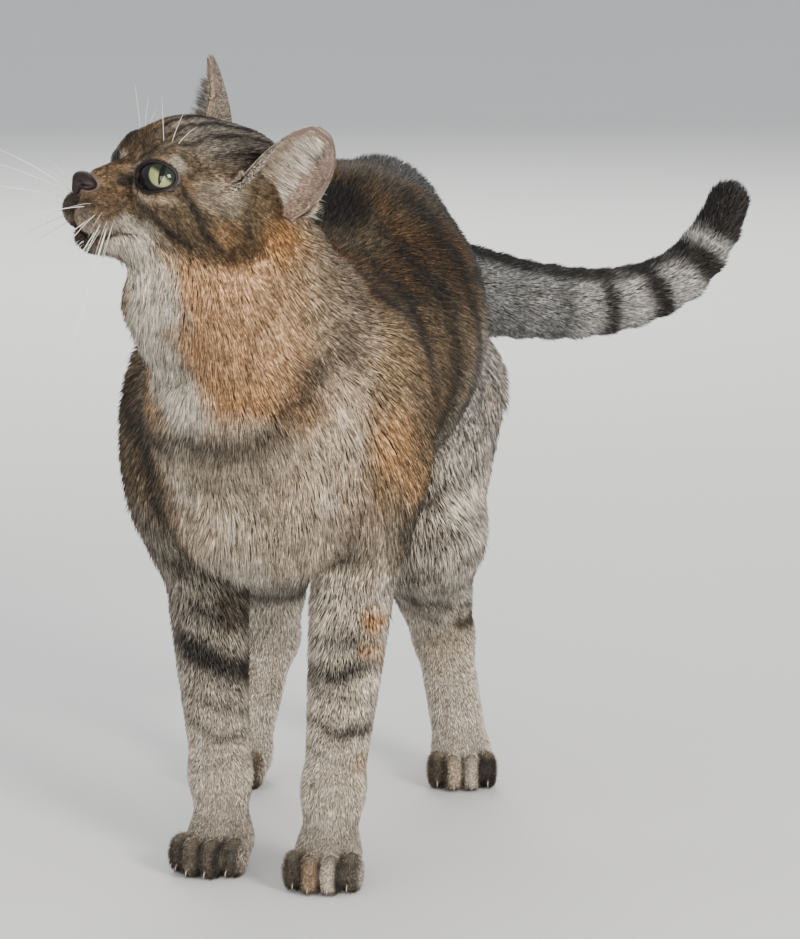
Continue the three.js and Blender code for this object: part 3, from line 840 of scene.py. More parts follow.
def ear_material():
    shader = Shader("ear skin")
    flush, vein = shader.layer("flush"), shader.speckle(160, 4)
    colour = shader.blend(flush, EAR_TONES["dusky"], EAR_TONES["pink"])
    colour = shader.blend(vein.ease(0.45, 0.7) * 0.4, colour, EAR_TONES["vein"])
    # Painted shade: the hollow near the ear's root is darkened where the ear canal lies in shade.
    colour = shader.blend(shader.layer("hollow"), colour, EAR_TONES["deep"])
    fine = shader.speckle(1400, 2)
    return shader.finish(Base_Color=colour, Roughness=0.62, Normal=shader.bumped(fine, 0.3, 0.0003))


def bristle_material(name, root, tip):
    shader = Shader(name)
    tone = shader.blend(shader.layer("along"), root, tip)
    tone = shader.blend(shader.speckle(90) * 0.3, tone, root)
    return shader.finish(Base_Color=tone, Roughness=0.35)


# ---------------------------------------------------------------- markings

def ridge(distance, width):
    """1 on a line and 0 beyond its width, softly."""
    return np.exp(-(distance / width) ** 2)


def blot(p, centre, radii):
    """1 at the middle of a soft egg-shaped patch, 0 outside it."""
    q = (p - vec(*centre)) / vec(*radii)
    return ease(1.15, 0.55, length_of(q))


def stripe(p, *points, width=2.0):
    offset = Spine(*points).near(p)[2]
    return ridge(length_of(offset), width)


def over(base, *masks):
    for mask in masks:
        base = base + (1 - base) * np.clip(mask, 0, 1)
    return base


FACE_MIDDLE = np.array([0, -22.0, -4.0])
FACE_REACH = 34


def on_face(h):
    """A point of the head moved straight out to a ball, so that marks don't depend on the fur's depth."""
    return unit(np.asarray(h, float) - FACE_MIDDLE) * FACE_REACH


def face_stripe(h, *points, width):
    return stripe(on_face(h), *[on_face(point) for point in points], width=width)


def face_blot(h, centre, radii):
    return blot(on_face(h), on_face(centre), radii)


def head_markings(p):
    h = head_frame.inside(p)
    x, y, z = h.T
    wobbly = h + 0.9 * noise_vector(h, 6, 3)
    m = wobbly * vec(0, 1, 1) + np.abs(wobbly) * vec(1, 0, 0)
    crown = ease(12, 20, z) * ease(-34, -27, y)
    lanes = ease(0.2, 0.75, np.cos((np.abs(m[:, 0]) + 0.16 * (y + 30)) * (2 * math.pi / 7.6) + math.pi))
    mottled = ease(-0.6, 0.7, noise(h * vec(1, 0.5, 1), 2.6, 5))
    # The ground darkens the whole head: partly its own darker tone, partly painted half-shade.
    ground = over(
        0.6 + 0.22 * mottled,
        0.4 * ease(-30, -4, y) * ease(6, 20, z),
    )
    lines = (
        crown * lanes * 0.9,
        0.9 * face_stripe(m, (14.6, -35.3, 12.3), (14.5, -29, 18), (13.6, -23.2, 22.6), width=1.5),
        0.95 * face_stripe(m, (28.4, -25, 2), (31.6, -21.7, -1.7), (34.7, -17, -7.3), (36.2, -11.8, -13.9),
                           (36.3, -5.3, -19.7), (33, 3, -27), width=1.8),
        0.9 * face_stripe(m, (18, -37.2, -9.3), (27.6, -31.3, -13.5), (29.6, -26, -17.9),
                          (32.3, -19.7, -20.4), (33.6, -14.5, -25), (31, -8, -31), width=2.2),
        0.7 * face_stripe(m, (20, -38, -16), (26, -31, -21), (29, -24, -26), (28, -16, -32), width=1.7),
        0.6 * face_stripe(m, (33, -14, 4), (37, -6, -4), (38, 2, -12), width=1.8),
        0.97 * face_stripe(m, (7.6, -45, -3.8), (9.6, -39.3, 0.6), width=2.0),
        0.97 * blot(m, (8.3, -41.5, -1.2), (3.6, 5, 3.4)),
        0.8 * face_stripe(m, (0, -60, -14), (0, -57, -22), width=1.2),
        0.95 * ridge(lips_apart(h), 1.6),
        0.8 * face_blot(h, (0, -51, -31), (11, 11, 7)),
        0.75 * blot(h, (-14.7, -33.5, 15.3), (5, 5, 5)),
        # Painted shade on the front of the whisker pads, under the nose.
        0.8 * blot(h, (-3, -59, -17), (10, 7, 8)),
    )
    for side in SIDES.values():
        at_lid = ease(16, 12.5, length_of(h - eye_place(side)))
        lines += (0.95 * ridge(np.maximum(lid_level(h, side) - 1, 0), 0.1) * at_lid,)
    for row in range(4):
        for spot in range(4 - row // 2):
            at = (9.5 + 1.5 * spot + 0.6 * row, -57 + 3.1 * spot + row, -12.6 - 2.7 * row - 0.4 * spot)
            lines += (0.85 * ridge(length_of(on_face(m) - on_face(at)), 0.9),)
    ginger = over(
        0.2 + 0 * x,
        0.3 * ease(-30, -45, y),
        0.95 * face_blot(wobbly, (-1.5, -30, 21), (7, 9, 6)),
        0.6 * face_stripe(wobbly, (0, -56, -2), (-1, -44, 7), (-2, -34, 17), width=4),
        0.85 * face_blot(m, (29, -22.5, 2.5), (4, 5, 4)),
        0.5 * face_blot(m, (24, -31, -5.5), (9, 8, 5)),
        0.45 * face_blot(wobbly, (37, -2.5, -13.5), (6, 6, 7)),
        0.5 * face_blot(m, (12, -48, -9), (8, 8, 5)),
        0.5 * face_stripe(m, (30, -28, -24), (32, -18, -28), width=4),
    )
    light = over(
        0.8 * face_blot(m, (8.5, -39.5, 6), (5.5, 6.5, 4.5)),
        0.75 * face_blot(m, (24.5, -27, 9.5), (5.5, 6, 5)),
        0.55 * face_stripe(m, (13, -37, -4.5), (20, -33.5, -6), (27, -27, -4.5), width=2.2),
        0.45 * face_blot(m, (34, -8, 3), (9, 16, 9)),
        0.5 * face_blot(m, (9, -54, -19), (7, 8, 5)),
        0.7 * face_blot(m, (14, -46, -21.5), (9, 10, 4)),
        0.6 * face_stripe(m, (22, -34, -18.5), (28, -26, -23), (29, -18, -29), width=2.0),
        0.4 * crown * (1 - lanes),
    )
    pale = over(light, 0.95 * ease(-26, -34, z) * ease(26, 14, np.abs(x)) * ease(-54, -46, y))
    patch = face_blot(wobbly, (37, -2.5, -13.5), (6, 6, 7))
    dark = over(ground * (1 - 0.6 * pale) * (1 - 0.6 * patch), *lines)
    silver = 0.6 * ease(5, 22, z) * ease(-36, -10, y)
    return np.stack([dark, ginger * (1 - 0.6 * silver), pale, silver], 1)


def neck_markings(p):
    x, y, z = p.T
    streak = ease(0.2, 0.75, noise(p * vec(1, 1, 0.35), 8, 5))
    front = ease(34, 24, x + 0.12 * (z - 220)) * ease(-95, -112, y) * ease(190, 206, z)
    # The last term is painted shade on the cat's right side of the neck.
    dark = over(0.3 * streak, 0.4 * (1 - front) * ease(0, 0.6, noise(p, 8, 7)), 0.5 * ease(-40, -56, x))
    lock = ease(0.1, 0.6, noise(p * vec(1, 1, 0.6), 11, 6))
    ginger = over(0.85 * front, 0.5 * front * lock, 0.28 + 0 * x)
    pale = over(0.12 * front, 0.1 + 0 * x, 0.6 * ease(206, 190, z) * ease(-52, -34, x))
    silver = over(0.45 * ease(24, 38, x + 0.12 * (z - 220)), 0.3 * ease(-30, -50, x))
    return np.stack([dark, ginger, pale, silver], 1)


def trunk_markings(p):
    x, y, z = p.T
    wave = noise(p, 26, 11)
    bands = np.cos((y + 9 * wave + 0.25 * (z - 200)) * (2 * math.pi / 27))
    flank = ease(22, 45, np.abs(x)) * ease(125, 150, z) * ease(-75, -35, y)
    streaks = ease(0.1, 0.8, noise(p * vec(1, 1, 1.4), 9, 14))
    dark = over(
        0.2 * ease(60, 20, y) * ease(-100, -60, y) + 0.15 * ease(25, 50, x) * ease(60, 20, y),
        0.7 * flank * ease(0.0, 0.7, bands) * ease(110, 40, y),
        0.34 * ease(28, 50, x) * ease(-105, -75, y) * ease(60, 30, y),
        0.95 * blot(p + wave[:, None] * 5, (14, -2, 283), (19, 28, 15)),
        0.88 * ease(214, 246, z + 5 * wave) * (0.8 + 0.2 * streaks) * ease(-80, -50, y),
        0.5 * ease(270, 285, z) * ease(9, 3, np.abs(x - 2)) * ease(20, 60, y),
        0.18 * streaks * ease(-70, -100, y) * ease(200, 180, z),
        # Painted shade on the cat's right side of the chest.
        0.9 * ease(-26, -46, x) * ease(-30, -70, y),
        0.7 * stripe(p, (-64, -70, 186), (-46, -106, 172), (-20, -118, 166), width=4) * streaks,
        0.6 * stripe(p + 3 * wave[:, None], (52, -70, 150), (40, -92, 144), (22, -104, 144), width=3.5),
        0.5 * stripe(p + 3 * wave[:, None], (54, -62, 172), (44, -88, 160), (28, -108, 160), width=3.5),
    )
    rust = ease(0.0, 0.55, noise(p, 19, 31) + 0.35 * noise(p, 7, 32))
    ginger = over(
        rust * ease(225, 258, z) * ease(-70, -40, y) * ease(105, 70, y) * 0.95,
        0.35 * rust * ease(150, 190, z) * ease(100, 30, y),
        0.38 * ease(-50, -95, y) * ease(-50, -30, x),
        0.32 * ease(20, 50, x) * ease(40, 0, y),
    )
    middle = ease(20, 6, np.abs(x + 4))
    breast = 0.6 + 0.35 * ease(0.0, 0.8, noise(p * vec(1, 1, 1.6), 7, 17))
    pale = over(
        breast * ease(-45, -85, y) * ease(-46, -26, x),
        0.8 * middle * ease(152, 132, z) * ease(-60, -90, y),
        0.45 * ease(160, 145, z) * ease(34, 18, np.abs(x)) * ease(-60, -40, y),
        0.6 * ease(30, 100, y) * ease(245, 205, z),
    )
    silver = over(0.9 * ease(20, 100, y + 0.3 * (230 - z)), 0.5 * ease(-30, -60, x))
    return np.stack([dark, ginger, pale, silver], 1)


# Bars round each leg: height, thickness, slant across the leg, and strength.
LEG_BARS = {
    "foreleg_left": (
        (136, 3.6, 0.3, 0.5), (121, 3, 0.1, 0.5), (103, 3, 0.05, 0.75), (89, 3.6, 0.1, 0.9),
        (80, 1.8, -0.25, 0.6), (67, 2.4, -0.15, 0.85), (55, 1.8, -0.1, 0.5), (44, 1.6, 0.1, 0.3),
    ),
    "foreleg_right": (
        (138, 4, -0.3, 0.8), (122, 4, -0.3, 0.8), (106, 4.5, -0.3, 0.75), (88, 5, -0.45, 1.0),
        (70, 2.2, -0.2, 0.6), (58, 2, -0.2, 0.6), (46, 1.8, 0.1, 0.35),
    ),
}
HIND_BARS = (
    (150, 5, 0.4, 0.6), (128, 5, 0.4, 0.65), (112, 4, 0.3, 0.75), (98, 3.6, 0.2, 0.8),
    (84, 2.6, -0.3, 0.75),
)
for leg_side, leg_x in SIDES.items():
    LEG_BARS[f"hindleg_{leg_side}"] = [(high, thick, leg_x * slant, full)
                                       for high, thick, slant, full in HIND_BARS]
# The tint of each toe, from the cat's right to its left: dark, ginger and pale.
TOE_TINTS = {
    "foreleg_left": ((0.82, 0, 0.1), (0.35, 0.55, 0.2), (0.05, 0.25, 0.75), (0.8, 0, 0.1)),
    "foreleg_right": ((0.85, 0.1, 0.1), (0.75, 0.1, 0.15), (0.8, 0.1, 0.1), (0.85, 0, 0.1)),
    "hindleg_left": ((0.8, 0, 0.1), (0.0, 0.35, 0.65), (0.0, 0.15, 0.85), (0.97, 0, 0)),
    "hindleg_right": ((0.9, 0, 0), (0.5, 0.1, 0.2), (0.4, 0.1, 0.3), (0.8, 0, 0.1)),
}


def leg_markings(name):
    kind, side_name = name.split("_")
    rear = kind == "hindleg"
    leg = (HIND_LEGS if rear else FORELEGS)[side_name]
    side = SIDES[side_name]
    place = paw_frame(leg)
    ankle = leg["hock" if rear else "wrist"]

    def markings(p):
        q = place.inside(p)
        x, y, z = q.T
        wobble = noise(p, 11, 41) * 3 + noise(p, 4, 42) * 0.8
        dark = np.zeros(len(p))
        for height, thick, slant, strength in LEG_BARS[name]:
            dark = over(dark, strength * ridge(z - height + wobble - slant * x, thick))
        inner = ease(4, -14, side * (p[:, 0] - ankle[0]))
        broken = ease(-0.5, 0.1, noise(p, 10, 49))
        dark = dark * mix(0.5 - 0.2 * rear, 1.0, np.maximum(inner, broken))
        # The right foreleg is darker from above its paw upwards.
        right_foreleg_darker = 0.42 * (name == "foreleg_right") * ease(36, 90, z)
        dark = over(dark, right_foreleg_darker, (0.1 + 0.3 * (not rear)) * ease(34, 20, z))
        rusty = 0.3 * ease(0.1, 0.7, noise(p, 14, 47)) * ease(50, 80, z)
        ginger = rusty + 0.25 * rear * inner * ease(60, 90, z)
        pale = over(0.72 + 0.05 * ease(60, 30, z) + 0.23 * rear, 0.7 * inner * ease(130, 100, z) * rear)
        pale = pale * ease(175, 140, z)
        on_toes = ease(19, 13, z) * ease(-5, -10, y)
        for toe, tint in zip(TOES, TOE_TINTS[name]):
            share = on_toes * ease(5.2, 3.4, np.abs(x - toe[0]))
            dark, ginger, pale = (mix(old, new, share) for old, new in zip((dark, ginger, pale), tint))
        gap = np.min([np.abs(x - middle) for middle in (-7.9, 0, 7.9)], axis=0)
        # The dark lines between the toes are painted shade in their creases.
        dark = over(dark, 0.9 * ridge(gap, 1.0) * on_toes, 0.75 * ease(3.5, 1.0, z))
        upper = ease(132, 172, z)
        dark = over(dark, (0.42 - 0.25 * rear) * upper)
        ginger = over(ginger, 0.3 * (1 - rear) * upper)
        silver = mix(0.3 - 0.2 * upper, 0.7 * ease(70, 110, z), rear)
        return np.stack([dark, ginger, pale, silver], 1)

    return markings


# Rings round the tail: share of its length, half the thickness, and strength.
TAIL_RINGS = (
    (0.32, 0.015, 0.25), (0.453, 0.018, 0.5), (0.574, 0.022, 0.95), (0.703, 0.028, 1.0),
    (0.838, 0.034, 1.0),
)


def tail_markings(p):
    along, direction, offset = spines["tail"].near(p)
    t = along / spines["tail"].starts[-1] + 0.006 * noise(p, 6, 51) + offset[:, 2] * 0.0006
    dark = 0.95 * ease(0.6, 0.85, unit(offset)[:, 2]) * (1 - 0.3 * ease(0.0, 0.8, noise(p, 5, 53)))
    for centre, half, strength in TAIL_RINGS:
        dark = over(dark, strength * ease(half * 1.35, half * 0.65, np.abs(t - centre)))
    dark = over(dark, ease(0.9, 0.915, t), 0.35 * ease(0.55, 0.4, t))
    pale = over(0.06 + 0 * t, 0.25 * ease(0.42, 0.6, t))
    return np.stack([dark, 0 * t, pale, 1 + 0 * t], 1)


# Marks that cross from one region to the next. Dark lines: strength, half the width, points.
DARK_LINES = (
    (0.97, 6.0, (-62, -72, 206), (-55, -91, 194), (-39, -112, 192), (-11, -132, 194), (5, -130, 193),
     (18, -126, 199), (25, -120, 210), (30, -114, 219), (42, -98, 234)),  # necklace
    (1.0, 4.6, (-46, -44, 97), (-40, -62, 93), (-25, -65, 90), (-14, -52, 80), (-13, -42, 80)),
    (0.85, 3.2, (20, -68, 90), (29, -78, 89), (37, -76, 91), (42, -70, 92)),
    (0.8, 2.6, (34, -78, 66), (40, -79, 66), (48, -68, 69)),
    (0.6, 2.8, (38, 90, 79), (27, 83, 84), (20, 92, 84)),
)
# Patches: dark, ginger and pale, then the middle and the reach each way.
PATCHES = (
    ((0.85, 0, 0), (-17, -52, 109), (11, 15, 12)),
    ((0.9, 0, 0), (50, 113, 75), (9, 13, 5)),
    ((0.75, 0, 0), (60, -46, 143), (13, 16, 22)),
    ((0, 0.9, 0.1), (58, -83, 190), (9, 12, 18)),
    ((0, 0.85, 0.1), (64, -58, 168), (8, 10, 12)),
    ((0, 0.5, 0.4), (47, -74, 142), (9, 9, 12)),
    ((0, 0.9, 0), (45, -66, 110), (7, 9, 6)),
    ((0, 0.85, 0), (44, -69, 98), (6, 9, 5)),
    ((0, 0.9, 0), (50, -60, 90), (5, 8, 5)),
    ((0, 0.6, 0), (43, -78, 52), (6, 8, 4)),
    ((0, 0.95, 0), (17, -115, 277), (8, 12, 11)),
    ((0, 0.8, 0.1), (3, -132, 212), (24, 16, 12)),
    ((0, 0.45, 0.2), (22, -108, 250), (18, 18, 20)),
    ((0, 0.2, 0.75), (5, -132, 201), (22, 14, 6)),
    ((0, 0.1, 0.6), (40, 104, 62), (18, 22, 12)),
)
MARKS_SHARPNESS = 4
# Marks are measured mostly across and up, as the fur's own depth moves them front to back.
FRONT_ON = np.array([1.0, 0.35, 1.0])
BIB = ((-38, -128, 276), (-28, -142, 256), (-36, -138, 245), (-34, -135, 232), (-20, -132, 207))
BIB_TINT = np.array([0.05, 0.02, 0.92, 0.6])


def markings(p, weights):
    """Dark, ginger, pale and silver at each point: its region's own, then the marks across regions."""
    sharp = {name: weight ** MARKS_SHARPNESS for name, weight in weights.items()}
    total = sum(sharp.values())
    marks = blended({name: weight / total for name, weight in sharp.items()}, MARKINGS, p)
    ragged = (p + 1.6 * noise_vector(p, 6, 55)) * FRONT_ON
    for tint, centre, reach in PATCHES:
        share = blot(ragged, vec(*centre) * FRONT_ON, reach)[:, None] * max(tint)
        marks[:, :3] = mix(marks[:, :3], vec(*tint), share)
    bib = length_of(Spine(*[vec(*point) * FRONT_ON for point in BIB]).near(ragged)[2])
    frayed = bib + 4 * noise(p * vec(1, 1, 0.4), 5, 57)
    marks = mix(marks, BIB_TINT, 0.9 * ease(17, 6, frayed)[:, None] * ease(-70, -90, p[:, 1:2]))
    for strength, wide, *line in DARK_LINES:
        across = stripe(ragged, *[vec(*point) * FRONT_ON for point in line], width=wide)
        marks[:, 0] = over(marks[:, 0], strength * across)
    return marks


MARKINGS = {name: leg_markings(name) for name in LEG_BARS}
MARKINGS.update(head=head_markings, neck=neck_markings, trunk=trunk_markings, tail=tail_markings)

# ---------------------------------------------------------------- skin

SKIN_BOX = ((-75, -180, -2), (175, 270, 345))
SKIN_STEP = 1.5
SKIN_ABOVE_FLOOR = 0.6
SKIN_TRIANGLES = 185000
SKIN_NODES = (
    "head", "lower_jaw", "whisker_pad_left", "whisker_pad_right", "neck", "chest", "loin_and_hips",
    "foreleg_left", "foreleg_right", "forepaw_left", "forepaw_right", "hindleg_left", "hindleg_right",
    "hindpaw_left", "hindpaw_right", "tail_base", "tail_middle", "tail_tip",
)


def bare_share(p):
    """Where the skin is bare: in the ears' hollows, on the lids' edges, the nose and between the lips."""
    h = head_frame.inside(p)
    bare = ease(1.5, 0.9, lips_apart(h))
    for side in SIDES.values():
        near_eye = ease(15.5, 14, length_of(h - eye_place(side)))
        bare = over(bare, ease(1.1, 1.02, lid_level(h, side)) * near_eye)
    for hollow in ear_hollows:
        bare = over(bare, ease(1.5, -1, hollow(h)))
    return over(bare, ease(1.2, 0.2, nose_field(h)))


def nose_field(h):
    """The nose leather: its pad and wings, nostrils with a slit each, and the groove down the middle."""
    shape = melt(
        1.8,
        egg((0, -56, -5.9), (4.7, 4.4, 3.6)),
        *both(lambda x: egg((x * 3.7, -54.6, -7.0), (2.9, 3.8, 2.7))),
        egg((0, -57.9, -9.0), (2.1, 2.1, 3.6)),
    )
    nostrils = both(lambda x: bar((x * 2.2, -61.5, -7.9), (x * 4.4, -56.9, -7.0), 1.25, 0.75))
    slits = both(lambda x: bar((x * 4.0, -58.9, -8.1), (x * 7.4, -54.5, -7.6), 0.55, 0.4))
    groove = bar((0, -62, -6), (0, -60.4, -13.5), 0.4, 0.45)
    return scoop(0.7, shape, *nostrils, *slits, groove)(h)


def make_skin(material):
    points, quads = net(skin, *SKIN_BOX, SKIN_STEP)
    points[:, 2] = np.maximum(points[:, 2], SKIN_ABOVE_FLOOR)
    piece = mesh_piece("skin", points, quads, material)
    thin = piece.modifiers.new("thin", "DECIMATE")
    thin.ratio = min(1, SKIN_TRIANGLES / (2 * len(quads)))
    graph = bpy.context.evaluated_depsgraph_get()
    mesh = bpy.data.meshes.new_from_object(piece.evaluated_get(graph))
    bpy.data.objects.remove(piece)
    mesh.calc_loop_triangles()
    points = np.empty(len(mesh.vertices) * 3)
    mesh.vertices.foreach_get("co", points)
    points = points.reshape(-1, 3) * 1000 - shift
    faces = np.empty(len(mesh.loop_triangles) * 3, np.int32)
    mesh.loop_triangles.foreach_get("vertices", faces)
    faces = faces.reshape(-1, 3)
    marks = markings(points, region_weights(points.astype(np.float32))[0])
    piece = mesh_piece("skin", points, faces, material, markings=marks[:, :3], silver=marks[:, 3],
                       bare=bare_share(points))
    rides(piece, "coat", *SKIN_NODES)
    return points, faces


# ---------------------------------------------------------------- tufts

PATCH = 0.003
ROOT_SUNK = 0.25
TUFT_RIDGE = 0.4
TUFT_BOW = 0.07
TUFT_ABOVE_FLOOR = 0.15
BARE_LIMIT = 1.2


def tuft_mesh(roots, normals, lie, lengths, depth, widths):
    """Four-sided blades: two root corners, a ridge on the back and a tip at the coat's surface."""
    side = unit(np.cross(lie, normals))
    lie = unit(np.cross(normals, side))
    reach = np.sqrt(np.maximum(lengths**2 - depth**2, (0.4 * lengths) ** 2))
    base = roots - normals * ROOT_SUNK
    tip = roots + lie * reach[:, None] + normals * depth[:, None]
    back = mix(base, tip, TUFT_RIDGE) + normals * (TUFT_BOW * lengths)[:, None]
    half = side * (widths / 2)[:, None]
    points = np.stack([base - half, base + half, back, tip], 1)
    first = np.arange(len(roots))[:, None] * 4
    corners = np.array([[0, 2, 3], [1, 3, 2], [0, 1, 2], [0, 3, 1]])
    return points.reshape(-1, 3), (first[:, :, None] + corners[None]).reshape(-1, 3)


def fur_piece(name, slot, nodes, material, rng, tufts, marks, sheet):
    """One mesh of tufts, each tinted a little at random, its bake map set at its root's place on the sheet.
    """
    roots = tufts[0]
    points, faces = tuft_mesh(*tufts)
    points[:, 2] = np.maximum(points[:, 2], TUFT_ABOVE_FLOOR)
    marks = np.clip(marks + 0.05 * rng.normal(size=(len(roots), 1, 4)), 0, 1)
    shade = np.clip(0.5 + 0.22 * noise(roots, 2.2, 81) + 0.33 * rng.normal(size=len(roots)), 0, 1)
    ticked = (rng.random(len(roots)) < 0.5 - 0.35 * marks[:, -1, 2]) * 0.85
    along = np.tile([0, 0, TUFT_RIDGE, 1], len(roots))
    hair = np.stack([along, np.repeat(shade, 4), np.repeat(ticked, 4)], 1)
    patch = np.array([[-0.5, 0], [0.5, 0], [0, TUFT_RIDGE], [0, 1]]) * PATCH
    bake = (sheet[:, None] + patch).reshape(-1, 2)
    marks = np.broadcast_to(marks, (len(roots), 4, 4)).reshape(-1, 4)
    piece = mesh_piece(name, points, faces, material, markings=marks[:, :3], silver=marks[:, 3], hair=hair,
                       OFBake=bake)
    return rides(piece, slot, *nodes)


def unwrapped(region, p):
    """A place on a flat sheet for each point: round the region's spine, and along it past its ends."""
    spine = spines[region]
    along, direction, offset = spine.near(p)
    ahead = dot(offset, direction)
    radial = offset - ahead[:, None] * direction
    out = length_of(radial)
    side = unit(np.cross(direction, UP) + 1e-6)
    over_it = np.cross(side, direction)
    around = np.arctan2(dot(radial, side), dot(radial, over_it)) / (2 * math.pi) + 0.5
    cap = 60.0
    reach = along + cap * np.arctan2(ahead, out) / (math.pi / 2)
    v = (reach + cap) / (spine.starts[-1] + 2 * cap)
    return np.stack([0.01 + 0.97 * around, 0.01 + 0.97 * v], 1)


# For each coat piece: its region, the CAD nodes it stands for, how many tufts are sown, how wide one is,
# and its length for each millimetre of the coat's depth.
COAT = {
    "coat_head_left": ("head", ("head",), 45000, 0.35, 2.7),
    "coat_head_right": ("head", ("lower_jaw",), 29000, 0.43, 2.7),
    "coat_neck": ("neck", ("neck",), 35000, 0.52, 2.0),
    "coat_trunk_left": ("trunk", ("chest",), 47000, 0.56, 2.1),
    "coat_trunk_right": ("trunk", ("loin_and_hips",), 36000, 0.65, 2.1),
    "coat_foreleg_left": ("foreleg_left", ("foreleg_left", "forepaw_left"), 30000, 0.43, 2.4),
    "coat_foreleg_right": ("foreleg_right", ("foreleg_right", "forepaw_right"), 27500, 0.44, 2.4),
    "coat_hindleg_left": ("hindleg_left", ("hindleg_left", "hindpaw_left"), 31000, 0.47, 2.4),
    "coat_hindleg_right": ("hindleg_right", ("hindleg_right", "hindpaw_right"), 23000, 0.55, 2.4),
    "coat_tail": ("tail", ("tail_base", "tail_middle", "tail_tip"), 31000, 0.48, 1.8),
}


def scatter(rng, points, faces, density, count):
    """Places spread evenly over some triangles, as thick as the density says."""
    a, b, c = (points[faces[:, n]] for n in range(3))
    area = length_of(np.cross(b - a, c - a)) / 2 * density
    edges = np.cumsum(area) / area.sum()
    pick = np.searchsorted(edges, (np.arange(count) + rng.random(count)) / count)
    pick = np.minimum(pick, len(faces) - 1)
    u, v = rng.random((2, count, 1))
    flip = u + v > 1
    u, v = np.where(flip, 1 - u, u), np.where(flip, 1 - v, v)
    return a[pick] + (b - a)[pick] * u + (c - a)[pick] * v


def make_coat(name, points, faces, owner, material, rng):
    region, nodes, count, width, stretch = COAT[name]
    middle = points[faces].mean(1)
    mine = owner == REGIONS.index(region)
    if region in ("head", "trunk"):
        x = head_frame.inside(middle)[:, 0] if region == "head" else middle[:, 0]
        mine &= (x >= 0) == name.endswith("left")
    depth = DEPTHS[region](middle[mine].astype(np.float32))
    roots = scatter(rng, points, faces[mine], 1 / np.maximum(depth, 0.7), count)
    roots = roots[(rng.random(count) > bare_share(roots) * BARE_LIMIT) & (roots[:, 2] > 0.9)]
    p = roots.astype(np.float32)
    normals = unit(slope_of(skin, roots)[1])
    weights = region_weights(p)[0]
    lie = unit(blended(weights, LIES, roots))
    locks = 0.14 + 0.3 * ease(-60, -100, roots[:, 1:2]) * ease(100, 130, roots[:, 2:]) * ease(
        -52, -36, roots[:, :1])
    locks *= 1 - 0.6 * weights["head"][:, None]
    lie += locks * noise_vector(roots, 9, 61) + 0.12 * rng.normal(size=roots.shape)
    depth = np.maximum(blended(weights, DEPTHS, p), 0.45)
    lumps = locks[:, 0] * 0.4 * noise(roots, 5, 71)
    depth *= 0.86 + lumps + 0.1 * rng.normal(size=len(roots)).clip(-2, 1.2)
    lengths = depth * stretch * (1 + 0.1 * rng.normal(size=len(roots)))
    widths = width * mix(0.6, 1.0, ease(0.5, 3, depth)) * (1 + 0.25 * rng.random(len(roots)))
    tufts = (roots, normals, lie, lengths, depth, widths)
    corners = tuft_mesh(*tufts)[0].reshape(-1, 4, 3)
    at_root, at_back, at_tip = (markings(corners[:, n], weights) for n in (0, 2, 3))
    marks = np.stack([at_root, at_root, at_back, at_tip], 1)
    fur_piece(name, "coat", nodes, material, rng, tufts, marks, unwrapped(region, roots))


# ---------------------------------------------------------------- ears

EAR_ROWS = 44
EAR_COLUMNS = 56
EAR_FUR = 0.5
# Which rim of each ear is the one nearer the middle of the head, where the long hairs root.
INNER_RIM = {"left": -1, "right": 1}


def ear_point(ear, rise, angle, wall):
    """A point of the shell: rise is 0 at the root and 1 at the tip, angle -1 and 1 at the two rims."""
    rise, angle = (np.asarray(value, float)[..., None] for value in (rise, angle))
    up = unit(vec(*ear["axis"]))
    opening = vec(*ear["opening"])
    opening = unit(opening - up * dot(opening, up))
    across = np.cross(up, opening)
    rounded = 0.55 + 0.45 * ease(0.0, 0.42, rise)
    turn = np.radians((112 - 28 * rise) * angle * rounded)
    wide = EAR["half_width"] * (1.01 - rise) ** 0.6 * (0.87 + 0.75 * rise)
    wide = wide + 2.2 * rise - wall * (1 - rise / 2)
    deep = EAR["depth"] * (1 - rise) ** 0.8 + 2.6 - wall
    height = rise * (EAR["height"] + EAR["sunk"] - wall * 0.4) - EAR["sunk"]
    height = height + ear["lean"] * np.sin(turn) * (1 - rise)
    ahead = EAR["forward"] - deep * np.cos(turn) - EAR["bow"] * np.sin(math.pi * rise)
    place = vec(*ear["base"]) + up * height + across * wide * np.sin(turn) + opening * ahead
    return head_frame.outside(place)


def ear_sides(ear, rise, angle, wall):
    """At a point of the shell: towards its tip, towards the rim where angle is 1, and out of its back."""
    small = 0.004
    here = ear_point(ear, rise, angle, wall)
    tipwards = unit(here - ear_point(ear, rise - small, angle, wall))
    rimwards = unit(ear_point(ear, rise, angle + small, wall) - here)
    return here, tipwards, rimwards, unit(np.cross(tipwards, rimwards))


def slab(outer, inner):
    """A closed sheet between two grids of points."""
    rows, columns = outer.shape[:2]
    ids = np.arange(2 * rows * columns).reshape(2, rows, columns)

    def quads(grid):
        a, b, c, d = grid[:-1, :-1], grid[:-1, 1:], grid[1:, 1:], grid[1:, :-1]
        return np.stack([a, b, c, d], -1).reshape(-1, 4)

    edge = np.r_[np.arange(columns), columns - 1 + columns * np.arange(1, rows),
                 rows * columns - 2 - np.arange(columns - 1), columns * np.arange(rows - 2, -1, -1)]
    rim = np.stack([ids[0].ravel()[edge[:-1]], ids[1].ravel()[edge[:-1]], ids[1].ravel()[edge[1:]],
                    ids[0].ravel()[edge[1:]]], 1)
    faces = np.concatenate([quads(ids[0]), quads(ids[1])[:, ::-1], rim])
    return np.concatenate([outer.reshape(-1, 3), inner.reshape(-1, 3)]), faces


